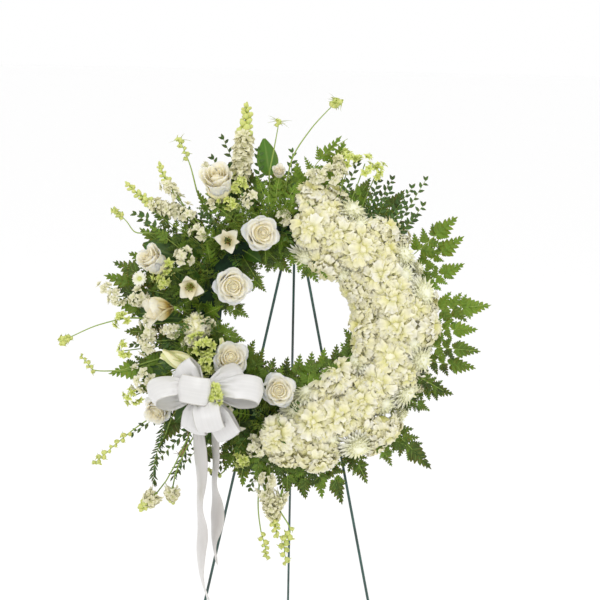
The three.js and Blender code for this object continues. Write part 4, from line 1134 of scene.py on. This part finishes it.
def florets(centres, outs, sizes, seed, per=5, rings=2, ratio=0.34, opened=1.15, tip=2.4, tones=0.5):
    """Little flowers: for each centre, rings of some petals each, tilted away from its direction.
    The inner ring is shorter and more upright."""
    rng = np.random.default_rng(seed)
    centres, outs = np.atleast_2d(centres), unit(np.atleast_2d(outs))
    count = len(centres)
    outs = np.broadcast_to(outs, (count, 3))
    total = per * rings
    ring = np.repeat(np.arange(rings), per)
    tilts = opened * (1 - 0.42 * ring) + rng.uniform(-0.15, 0.15, (count, total))
    turns = np.tile(np.arange(per) * 2 * np.pi / per, rings) + 0.6 * ring
    turns = turns + rng.uniform(0, 6.3, (count, 1)) + rng.uniform(-0.2, 0.2, (count, total))
    lengths = np.broadcast_to(sizes, count)[:, None] * (1 - 0.22 * ring)
    lengths = lengths * rng.uniform(0.85, 1.15, (count, total))
    bends = 0.5 + 0.3 * rng.uniform(-1, 1, count * total)
    sheets = blade(lengths.ravel(), ratio * lengths.ravel(), bends, 4, 3, tip, 0.35)
    local = on_dome(sheets, tilts.ravel(), turns.ravel(), rng.uniform(-0.3, 0.3, count * total))
    axes = np.repeat(facing(outs), total, axis=0)
    placed = np.einsum("krcx,kxy->krcy", local, axes)
    placed = placed + np.repeat(centres, total, axis=0)[:, None, None]
    tones = np.broadcast_to(tones, count)[:, None] + rng.uniform(-0.15, 0.15, (count, total))
    return petals(placed, 0.5, np.clip(tones, 0, 1).ravel())


def spike(base, tip, bow, radius, rows, seed, buds):
    """Florets up to the share that is still in bud, then beads, round a stalk that curves."""
    rng = np.random.default_rng(seed)
    path = arched(base, tip, bow, 12)
    t = (np.arange(rows) + 0.5) / rows
    at, way, side, up = beside(path, t, [0.1, 0.1, 1])
    turn = GOLDEN * np.arange(rows)
    out = unit(side * np.cos(turn)[:, None] + up * np.sin(turn)[:, None] + 0.55 * way)
    closed = np.clip((t - (1 - buds)) / buds, 0, 1)
    reach = radius * (1 - 0.25 * t ** 2) * (1 - 0.2 * closed)
    centres = at + out * (0.45 * reach)[:, None]
    open_ones = closed <= 0
    blooms = florets(centres[open_ones], out[open_ones], 0.82 * reach[open_ones], seed,
                     tones=0.3 + 0.7 * t[open_ones])
    count = (~open_ones).sum()
    sizes = 0.33 * reach[~open_ones] * rng.uniform(0.7, 1.2, count)
    tips = beads(centres[~open_ones], sizes, 1.45, out[~open_ones], rng.uniform(0.4, 1, count), 2)
    crown = beads(path[-1] + np.outer([0, 3, 6], way[-1]), [4.5, 3.6, 2.6], 1.3, way[-1], 0.8, 2)
    return joined([blooms, tips, crown, tube(path, np.linspace(3, 1.6, len(path)), 6, 0.4, 1)])


def rooted(place, out, degrees, tilt, radius):
    """A thin stalk for a small flower."""
    return stem(place, out, degrees, tilt, radius, 0.15)


def planted(name, head, place, out, entry, skins, slot, radius=1.3, stands_for=()):
    """One piece from a head and the thin stalk that holds it in the foam."""
    piece(name, joined([head, rooted(place, out, *entry, radius)]), skins, slot, stands_for)


STOCK = [
    # base, tip, bow, radius of the spike, florets, share in bud, ring angle and tilt of its stalk
    ((-132, 306, 84), (-120, 470, 62), (3, 0, 4), 25, 50, 0.42, (106, 42)),
    ((-252, 236, 82), (-372, 296, 62), (-6, -10, 6), 19, 34, 0.55, (140, 50)),
    ((-66, -346, 66), (-36, -452, 52), (4, 0, 8), 20, 30, 0.4, (248, 62)),
    ((-256, 262, 84), (-304, 340, 62), (-8, 4, 6), 15, 20, 0.6, (134, 44)),
    ((88, 318, 78), (78, 362, 80), (-2, 0, 4), 16, 14, 0.1, (78, 42)),
    ((-262, -352, 58), (-266, -384, 46), (0, 0, 6), 19, 16, 0.35, (226, 48)),
    ((-296, -366, 52), (-330, -404, 42), (0, 0, 6), 21, 22, 0.5, (222, 52)),
    ((-26, -352, 66), (-38, -392, 58), (0, -6, 6), 17, 14, 0.2, (252, 52)),
]
FRAME_SPIKES = 3  # the first three stand for spikes of the frame
STOCK_SKINS = [stock_petal, green_stem, lime_bud]
for number, (base, tip, bow, radius, rows, buds, entry) in enumerate(STOCK, 1):
    head = spike(base, tip, bow, radius, rows, number, buds)
    out = unit(np.subtract(tip, base))
    stands_for = [f"stock_spike_{number}"] if number <= FRAME_SPIKES else []
    planted(f"stock_{number}", head, base, out, entry, STOCK_SKINS, "cream_petal", 1.5, stands_for)
print("stock", len(STOCK), made[-1])

# %% [markdown]
# Alstroemeria, the lily of the Incas, has six petals on a short funnel: three broad ones outside and
# three narrower ones with dark flecks inside, round six bent stamens with rusty anthers. The fifth
# bloom hangs below the bow, and the fourth is still a striped bud.
# %% Alstroemerias


def alstroemeria(seed, length, opened):
    """Blades that leave the funnel upright and bend outwards by an arc; the outer three are twice
    as wide as the inner three."""
    rng = np.random.default_rng(seed)
    turns = np.arange(6) * np.pi / 3 + rng.uniform(-0.12, 0.12, 6)
    outer = np.arange(6) % 2 == 0
    lengths = length * np.where(outer, 1.0, 0.94) * rng.uniform(0.93, 1.07, 6)
    widths = np.where(outer, 0.4, 0.27) * length
    sheets = blade(lengths, widths, opened + rng.uniform(-0.2, 0.2, 6), 8, 5, 1.35, 0.4)
    laid_out = on_dome(sheets, 0.5 * opened + 0.12 * outer, turns, rng.uniform(-0.15, 0.15, 6))
    parts = [petals(laid_out, 0.7, np.where(outer, 0.2, 0.7))]
    spread_out = away(0.28 + rng.uniform(-0.08, 0.1, 6), turns + 0.4)
    for way in spread_out:
        parts.append(tube(arched([0, 0, 4], way * 0.62 * length, [0, 0, 2], 4), 0.6, 4, 0.6, 1))
    parts.append(beads(spread_out * 0.6 * length, 1.3, 1.8, [0.4, 0.2, 1], 0.6, 2))
    parts.append(beads([0, 0, 6], 6.2, 1.3, [0, 0, 1], 0.25, 2))
    parts.append(beads([0, 0, -3], 5, 1.5, [0, 0, 1], 0.3, 1))
    return joined(parts)


TRUMPETS = [
    # number, place, way it faces, ring angle and tilt of its stalk, length, opened
    (1, (-151, 176, 124), (0.0, 0.05, 1), (132, 15), 35, 0.9),
    (2, (-228, 76, 128), (-0.1, -0.3, 1), (167, 25), 44, 0.62),
    (3, (-298, 28, 122), (-0.95, -0.12, 0.4), (176, 32), 68, 0.42),
    (5, (-138, -226, 104), (0.15, -0.85, 0.5), (236, 35), 44, 0.8),
]
TRUMPET_SKINS = [trumpet_petal, green_stem, pollen]
for number, place, out, entry, length, opened in TRUMPETS:
    base = np.array(place) - 0.55 * length * unit(out)
    head = posed(alstroemeria(number, length, opened), base, out, 0.9 * number)
    whole = joined([head, stem(base, out, *entry, radius=1.8)])
    name = f"alstroemeria_bloom_{number}"
    piece(name, whole, TRUMPET_SKINS, "trumpet_petal", [f"alstroemeria_{number}"])

bud_finish = leaf_finish("striped_bud_skin", "B7C25A", "F0EBC0", "DCD478", roughness=0.45, veins=0)
BUDS = [
    # place of the base, way it points, length, ring angle and tilt, stands for
    ((-208, -92, 112), (-1, 0.36, 0), 84, (193, 30), ["alstroemeria_4"]),
    ((-152, -60, 112), (-0.3, 1, 0.2), 34, (200, 0), []),
]
for number, (base, out, length, entry, stands_for) in enumerate(BUDS, 1):
    turns = np.arange(6) * np.pi / 3
    sheets = blade(np.full(6, length), 0.2 * length, -0.28, 9, 5, 1.1, 0.9)
    closed = on_dome(sheets, np.full(6, 0.27), turns, 0.15)
    bud = posed(petals(closed, 0.8, np.where(np.arange(6) % 2, 0.9, 0.25)), base, out)
    core = posed(beads([0, 0, 0.46 * length], 0.15 * length, 2.6, [0, 0, 1], 0.5), base, out)
    whole = joined([bud, core, stem(base, out, *entry, radius=1.8)])
    piece(f"lily_bud_{number}", whole, [bud_finish, green_stem], "trumpet_petal", stands_for)
print("alstroemerias and buds", len(TRUMPETS) + len(BUDS), made[-1])

# %% [markdown]
# Small things fill the gaps: a daisy mum and its florets at the left edge, clusters of white stock
# florets, a pompom carnation, a small rose bud, and the lime heads of euphorbia. Each cluster is a
# handful of florets spread on a little dome, so that no two look alike.
# %% Small flowers


def cluster(place, out, width, count, size, seed, **how):
    """Florets whose centres lie on a dome of the given width, by the golden angle."""
    rng = np.random.default_rng(seed)
    order = (np.arange(count) + 0.5) / count
    axes = facing(unit(out))
    turns = GOLDEN * np.arange(count) + rng.uniform(-0.3, 0.3, count)
    outs = away(1.25 * np.sqrt(order), turns) @ axes
    centres = np.array(place) + outs * width * rng.uniform(0.7, 1.2, (count, 1))
    centres = centres - 0.5 * width * axes[2]
    centres = centres + 0.4 * width * rng.uniform(-1, 1, (count, 3)) * [1, 1, 0.3]
    return florets(centres, outs, size, seed, **how)


WHITE_CLUSTERS = [
    # place, way it faces, width, florets, floret size, ring angle, tilt
    ((-286, 292, 84), (-0.3, 0.6, 1), 12, 5, 12, 134, 36),
    ((-393, 53, 66), (-0.5, -0.2, 1), 15, 7, 13, 172, 52),
    ((-345, 52, 80), (-0.2, -0.3, 1), 20, 9, 13, 170, 44),
    ((-417, 76, 62), (-0.5, 0.3, 1), 10, 4, 11, 168, 56),
    ((-246, 146, 112), (-0.2, 0.1, 1), 17, 7, 13, 150, 20),
    ((-240, 236, 104), (-0.2, 0.3, 1), 15, 6, 12, 138, 20),
    ((-213, 196, 114), (0, 0.2, 1), 13, 6, 12, 140, 8),
    ((-36, 226, 112), (0.1, 0.2, 1), 10, 4, 14, 98, 4),
    ((-318, -6, 88), (-0.5, -0.3, 1), 18, 8, 13, 180, 36),
    ((-322, -40, 84), (-0.6, 0, 1), 20, 9, 13, 188, 36),
    ((34, 316, 92), (0.1, 0.4, 1), 13, 5, 17, 86, 28), ((66, 322, 88), (0.2, 0.3, 1), 16, 7, 14, 80, 28),
    ((-272, -16, 104), (-0.2, -0.2, 1), 14, 6, 13, 174, 24),
    ((-228, -38, 112), (-0.1, -0.1, 1), 14, 6, 13, 186, 10),
    ((-336, -128, 66), (-0.8, -0.2, 0.8), 22, 9, 13, 201, 48),
    ((-190, 252, 106), (-0.1, 0.2, 1), 10, 4, 10, 130, 14),
    ((-84, -262, 92), (0.1, -0.4, 1), 18, 8, 13, 250, 24),
    ((-58, -332, 70), (0.1, -0.6, 1), 16, 7, 14, 258, 40),
    ((-108, 268, 108), (0, 0.4, 1), 13, 5, 13, 112, 20),
    ((-206, 330, 84), (-0.2, 0.5, 1), 10, 4, 11, 122, 42),
    ((-152, -178, 112), (0.1, -0.3, 1), 14, 6, 13, 234, 12),
    ((-190, -4, 100), (0.3, 0.2, 1), 12, 5, 13, 186, -8),
]
for number, (place, out, width, count, size, *entry) in enumerate(WHITE_CLUSTERS, 1):
    head = cluster(place, out, width, count, size, 300 + number, tones=0.35)
    planted(f"white_florets_{number}", head, place, out, entry, STOCK_SKINS, "cream_petal")

LIME_STOPS = [(0.0, "A3B440"), (0.5, "CFDA74"), (1.0, "E8EDB0")]
lime_petal = petal_finish("euphorbia_bract", LIME_STOPS, "F6F6CC", veins=2)
LIME_CLUSTERS = [
    ((-203, -44, 122), (-0.1, 0, 1), 24, 14, 13, 192, 2),
    ((-192, -84, 132), (0, 0, 1), 17, 8, 12, 200, -4),
    ((-172, -136, 206), (0.05, 0.1, 1), 20, 15, 13, 214, 3),
    ((-288, 91, 100), (-0.2, 0, 1), 17, 8, 12, 162, 32),
    ((-280, 121, 102), (-0.1, 0.1, 1), 12, 5, 13, 158, 28),
    ((-140, 300, 100), (-0.1, 0.4, 1), 20, 9, 13, 118, 30),
    ((-148, 262, 108), (0, 0.2, 1), 17, 8, 12, 122, 18),
    ((136, 350, 66), (0.2, 0.7, 0.8), 20, 10, 12, 68, 46),
    ((104, 362, 68), (0.1, 0.8, 0.8), 17, 8, 12, 74, 46),
    ((166, 338, 60), (0.4, 0.7, 0.8), 16, 8, 11, 62, 48),
    ((-352, -160, 56), (-0.8, -0.4, 0.8), 17, 7, 12, 204, 52),
    ((-112, -292, 80), (0, -0.6, 1), 15, 7, 12, 246, 32),
    ((-382, 8, 66), (-0.7, 0, 0.8), 15, 6, 12, 178, 50),
    ((-372, -62, 60), (-0.7, -0.1, 0.8), 17, 7, 12, 190, 50),
]
for number, (place, out, width, count, size, *entry) in enumerate(LIME_CLUSTERS, 1):
    head = cluster(place, out, width, count, size, 400 + number, ratio=0.28, tip=1.3, tones=0.5)
    planted(f"euphorbia_{number}", head, place, out, entry, [lime_petal, green_stem], "lime_bud")

DAISY_PETALS = 26
daisy_rng = np.random.default_rng(5)
daisy_sheets = blade(np.full(DAISY_PETALS, 17.0), 3.0, 0.2, 5, 3, 1.8, 0.2)
daisy_turns = np.arange(DAISY_PETALS) * 2 * np.pi / DAISY_PETALS
daisy_laid = on_dome(daisy_sheets, np.tile([1.35, 1.1], DAISY_PETALS // 2), daisy_turns, 0.0)
daisy = joined([
    petals(daisy_laid, 0.5, daisy_rng.uniform(0, 0.5, DAISY_PETALS)),
    beads([0, 0, 2], 5.5, 0.7, [0, 0, 1], 0.6, 2, 10),
])
pompom = carnation(77, 44, 30, 10)
small_rose = rose(40, 0.95, ROSE_LAYERS[:5])
SINGLES = [
    # piece, shape, finishes, slot,
    # place, way it faces, spin, scale, ring angle and tilt of its stalk, the stalk's radius
    ("daisy_mum_left", daisy, [mum_petal, green_stem, lime_bud], "cream_petal",
     (-339, 93, 82), (-0.25, 0.1, 1), 0, 1, (164, 46), 1.3),
    ("pompom_carnation", pompom, [carnation_petal, green_stem], "cream_petal",
     (-213, -6, 92), (-0.05, 0, 1), 0.4, 1, (182, 0), 2.0),
    ("small_rose_bud", small_rose, [rose_petal, green_stem], "rose_petal",
     (-47, 316, 84), (0, 0.45, 1), 0, 0.5, (100, 30), 1.8),
]
for name, shape, skins, slot, place, out, spin, scale, entry, radius in SINGLES:
    planted(name, posed(shape, place, out, spin, scale), place, out, entry, skins, slot, radius)
print("small flowers", len(WHITE_CLUSTERS) + len(LIME_CLUSTERS) + len(SINGLES), made[-1])

# %% [markdown]
# Tendrils arch out past the fern and end in small lime buds, and a few thin stalks carry a seed head
# with a star of bracts. They give the wreath its loose outline. A tendril follows a smooth curve
# through a few points, with buds that stand alternately left and right near its end.
# %% Tendrils, seed heads and twigs


def smooth(points):
    """A Catmull-Rom curve: each stretch is the cubic that passes two points with the slopes given
    by their neighbours."""
    p = np.asarray(points, float)
    p = np.concatenate([[2 * p[0] - p[1]], p, [2 * p[-1] - p[-2]]])
    s = np.linspace(0, len(p) - 3 - 1e-9, 24)
    i, f = s.astype(int), (s % 1)[:, None]
    a, b, c, d = (p[i + k] for k in range(4))
    square, cube = 2 * a - 5 * b + 4 * c - d, 3 * b - a - 3 * c + d
    return 0.5 * (2 * b + (c - a) * f + square * f ** 2 + cube * f ** 3)


def tendril(points, degrees, tilt, buds, first, size, seed, bracts):
    """The stalk, buds with two small leaves each along its end, and perhaps a star of bracts."""
    rng = np.random.default_rng(seed)
    path = smooth(points)
    t = np.linspace(first, 1, buds)
    at, way, side, up = beside(path, t, [0, 0, 1])
    sign = np.where(np.arange(buds) % 2, 1, -1)[:, None]
    out = way * 0.7 + sign * side * rng.uniform(0.4, 1, (buds, 1))
    out = unit(out + up * rng.uniform(-0.2, 0.7, (buds, 1)))
    sizes = size * rng.uniform(0.65, 1.15, buds)
    centres = at + out * (sizes * 1.1)[:, None]
    parts = [tube(path, np.linspace(1.7, 0.9, len(path)), 6, 0.6, 1),
             beads(centres, sizes, 1.15, out, rng.uniform(0.2, 1, buds)),
             florets(centres, out, 1.9 * sizes, seed, per=3, rings=1, ratio=0.26, opened=0.9,
                     tip=1.2, tones=rng.uniform(0, 0.8, buds))]
    if bracts:
        centre, turns = path[-1], np.arange(bracts) * 2 * np.pi / bracts
        sheets = blade(rng.uniform(18, 30, bracts), 1.2, 0.5, 5, 3, 1.0, 0.2)
        local = on_dome(sheets, rng.uniform(0.9, 1.7, bracts), turns)
        star = np.einsum("krcx,xy->krcy", local, facing(way[-1])) + centre
        parts += [petals(star, 0.5, 0.2), beads(centre, 6, 1.2, way[-1], 0.7, sides=8)]
    parts.append(rooted(path[0], unit(path[1] - path[0]), degrees, tilt, 1.7))
    return joined(parts)


TENDRILS = [
    # points, ring angle, tilt, buds, where they start, size, bracts
    ([(-300, 5, 62), (-361, 9, 60), (-430, -8, 60), (-479, -30, 58), (-507, -44, 56)],
     182, 70, 9, 0.8, 5.5, 0),
    ([(-270, -180, 48), (-337, -222, 46), (-391, -267, 40), (-431, -305, 38)],
     219, 75, 12, 0.45, 5.5, 0),
    ([(-32, 300, 74), (-18, 362, 72), (17, 419, 70), (50, 458, 68), (74, 482, 66)],
     98, 55, 12, 0.86, 6.0, 7),
    ([(-67, 331, 80), (-58, 384, 74), (-50, 435, 70)], 102, 44, 3, 0.9, 4.0, 13),
    ([(-300, 192, 70), (-329, 192, 64), (-355, 194, 60), (-374, 217, 60), (-399, 240, 58)],
     152, 52, 8, 0.82, 5.0, 0),
    ([(-223, 287, 80), (-239, 340, 66), (-262, 393, 60)], 130, 46, 7, 0.6, 5.0, 5),
    ([(-360, -98, 56), (-385, -105, 54), (-436, -106, 50), (-452, -92, 50), (-466, -76, 48)],
     194, 60, 8, 0.5, 4.2, 0),
    ([(-72, -300, 70), (-78, -380, 60), (-72, -440, 48), (-62, -478, 42), (-58, -500, 42)],
     252, 62, 9, 0.55, 5.5, 0),
    ([(-30, -400, 60), (-8, -440, 52), (-20, -470, 46), (-16, -512, 42)], 258, 62, 10, 0.3, 6.0, 0),
    ([(-140, -300, 66), (-160, -322, 60), (-182, -318, 56)], 240, 50, 6, 0.5, 4.5, 0),
    ([(-232, -176, 78), (-232, -250, 62), (-246, -280, 56)], 226, 48, 8, 0.6, 3.5, 6),
]
FRAME_TENDRILS = 3  # the first three stand for tendrils of the frame
for number, (points, degrees, tilt, buds, first, size, bracts) in enumerate(TENDRILS, 1):
    shape = tendril(points, degrees, tilt, buds, first, size, number, bracts)
    skins = [dry_twig, dry_twig] if number == len(TENDRILS) else [lime_bud, green_stem]
    stands_for = [f"bud_tendril_{number}"] if number <= FRAME_TENDRILS else []
    piece(f"tendril_{number}", shape, skins, "lime_bud", stands_for)

NEEDLE_SPRIGS = [
    # base, tip, bow, ring angle, tilt
    ((-250, -160, 62), (-292, -262, 50), (-10, 0, 4), 206, 52),
    ((-280, -240, 56), (-304, -345, 42), (-10, 0, 4), 212, 58),
    ((-232, -200, 66), (-262, -330, 48), (12, 0, 4), 220, 54),
]
for number, (base, tip, bow, *entry) in enumerate(NEEDLE_SPRIGS, 1):
    twig = leafy(arched(base, tip, bow), [0, 0.2, 1], smooth_leaf(0.13, 0.4),
                 np.linspace(0.05, 0.96, 16), 15, 0.7, 0.3, 0.3, number, 0.5)
    planted(f"juniper_sprig_{number}", twig, base, np.subtract(tip, base), entry, *SPRIG)
print("tendrils and twigs", len(TENDRILS) + len(NEEDLE_SPRIGS), made[-1])

# %% [markdown]
# What is left of the frame is hard goods, and it keeps its measured shapes. The easel is wire,
# dipped in a dark green enamel that is thin at the bends; the foot caps are dull soft vinyl; the
# tray is moulded polypropylene; wet foam is dark and finely porous; the pick is dyed wood.
# %% Easel, tray and foam finishes


def hard_finish(name, dark, light, patch, grain, depth, **surface):
    """Two close shades mixed by soft patches, and a grain of the given size as bumps."""
    made_finish, tree, skin = finish(name, **surface)
    colour = ramp(tree, mottle(tree, patch), [(0.35, dark), (0.65, light)])
    tree.links.new(colour, skin.inputs["Base Color"])
    raised(tree, skin, mottle(tree, grain, 3.0), 0.5, depth)
    return made_finish


enamel = hard_finish(
    "green_enamel_on_wire", "16302B", "27524A", 25, 1.2, 0.0002, Roughness=0.38, Coat_Weight=0.4)
vinyl = hard_finish("soft_vinyl_cap", "0F1413", "1C2321", 8, 0.6, 0.0002, Roughness=0.62)
polypropylene = hard_finish(
    "moulded_polypropylene", "173524", "22492F", 30, 0.8, 0.0002, Roughness=0.5)
foam_finish = hard_finish("wet_floral_foam", "0E2415", "1E3D22", 6, 0.7, 0.001, Roughness=0.95)
dyed_wood = hard_finish("dyed_birch_pick", "35502A", "4F6F3C", 4, 0.5, 0.0002, Roughness=0.75)
HARD_GOODS = [
    (enamel, ["front_left_leg", "front_right_leg", "back_leg", "apex_bracket", "hinge_pin",
              "left_peg", "right_peg", "tie_wire_left", "tie_wire_right"]),
    (vinyl, ["front_left_foot_cap", "front_right_foot_cap", "back_foot_cap"]),
    (polypropylene, ["ring_tray"]),
    (foam_finish, ["foam_ring"]),
    (dyed_wood, ["bow_pick"]),
]
for material, part_names in HARD_GOODS:
    for part_name in part_names:
        for material_slot in bpy.data.objects[part_name].material_slots:
            material_slot.material = material
print("hard goods", sum(len(part_names) for _, part_names in HARD_GOODS))

# %% [markdown]
# The studio: a plain pale floor, even white light from all round, and three large soft lamps. The
# key stands in front and to the left, a weak fill at the right, and one more hangs overhead.
# %% Floor and light
floor_mesh = bpy.data.meshes.new("studio_floor")
FLOOR = 60  # half its side, metres
floor_corners = [(-FLOOR, -FLOOR, 0), (FLOOR, -FLOOR, 0), (FLOOR, FLOOR, 0), (-FLOOR, FLOOR, 0)]
floor_mesh.from_pydata(floor_corners, [], [(0, 1, 2, 3)])
floor = bpy.data.objects.new("studio_floor", floor_mesh)
scene.collection.objects.link(floor)
paper = finish("pale_studio_paper", Roughness=0.9, Base_Color=linear("FEFEFE"))[0]
floor_mesh.materials.append(paper)

world = bpy.data.worlds.new("studio")
scene.world = world
world.use_nodes = True
background = world.node_tree.nodes["Background"]
background.inputs["Color"].default_value = (1, 1, 1, 1)
background.inputs["Strength"].default_value = 1.0


def softbox(name, place, aim, size, watts):
    """A square lamp at a place, turned so that its own minus Z axis points at the aim."""
    lamp = bpy.data.lights.new(name, "AREA")
    lamp.size = size
    lamp.energy = watts
    added = bpy.data.objects.new(name, lamp)
    scene.collection.objects.link(added)
    added.location = place
    direction = Vector(aim) - Vector(place)
    added.rotation_euler = direction.to_track_quat("-Z", "Y").to_euler()


softbox("key_softbox", (-1.0, -3.0, 2.6), (0, 0, 0.95), 1.6, 19)
softbox("fill_softbox", (1.9, -2.4, 1.5), (0, 0, 0.9), 1.6, 5)
softbox("top_softbox", (0.6, 0.2, 3.4), (0, 0, 0.9), 2.2, 9)

# %% [markdown]
# The last cell counts the pieces and their triangles.
# %% Finish
print("pieces", len(made), "triangles", sum(count for _, count in made))
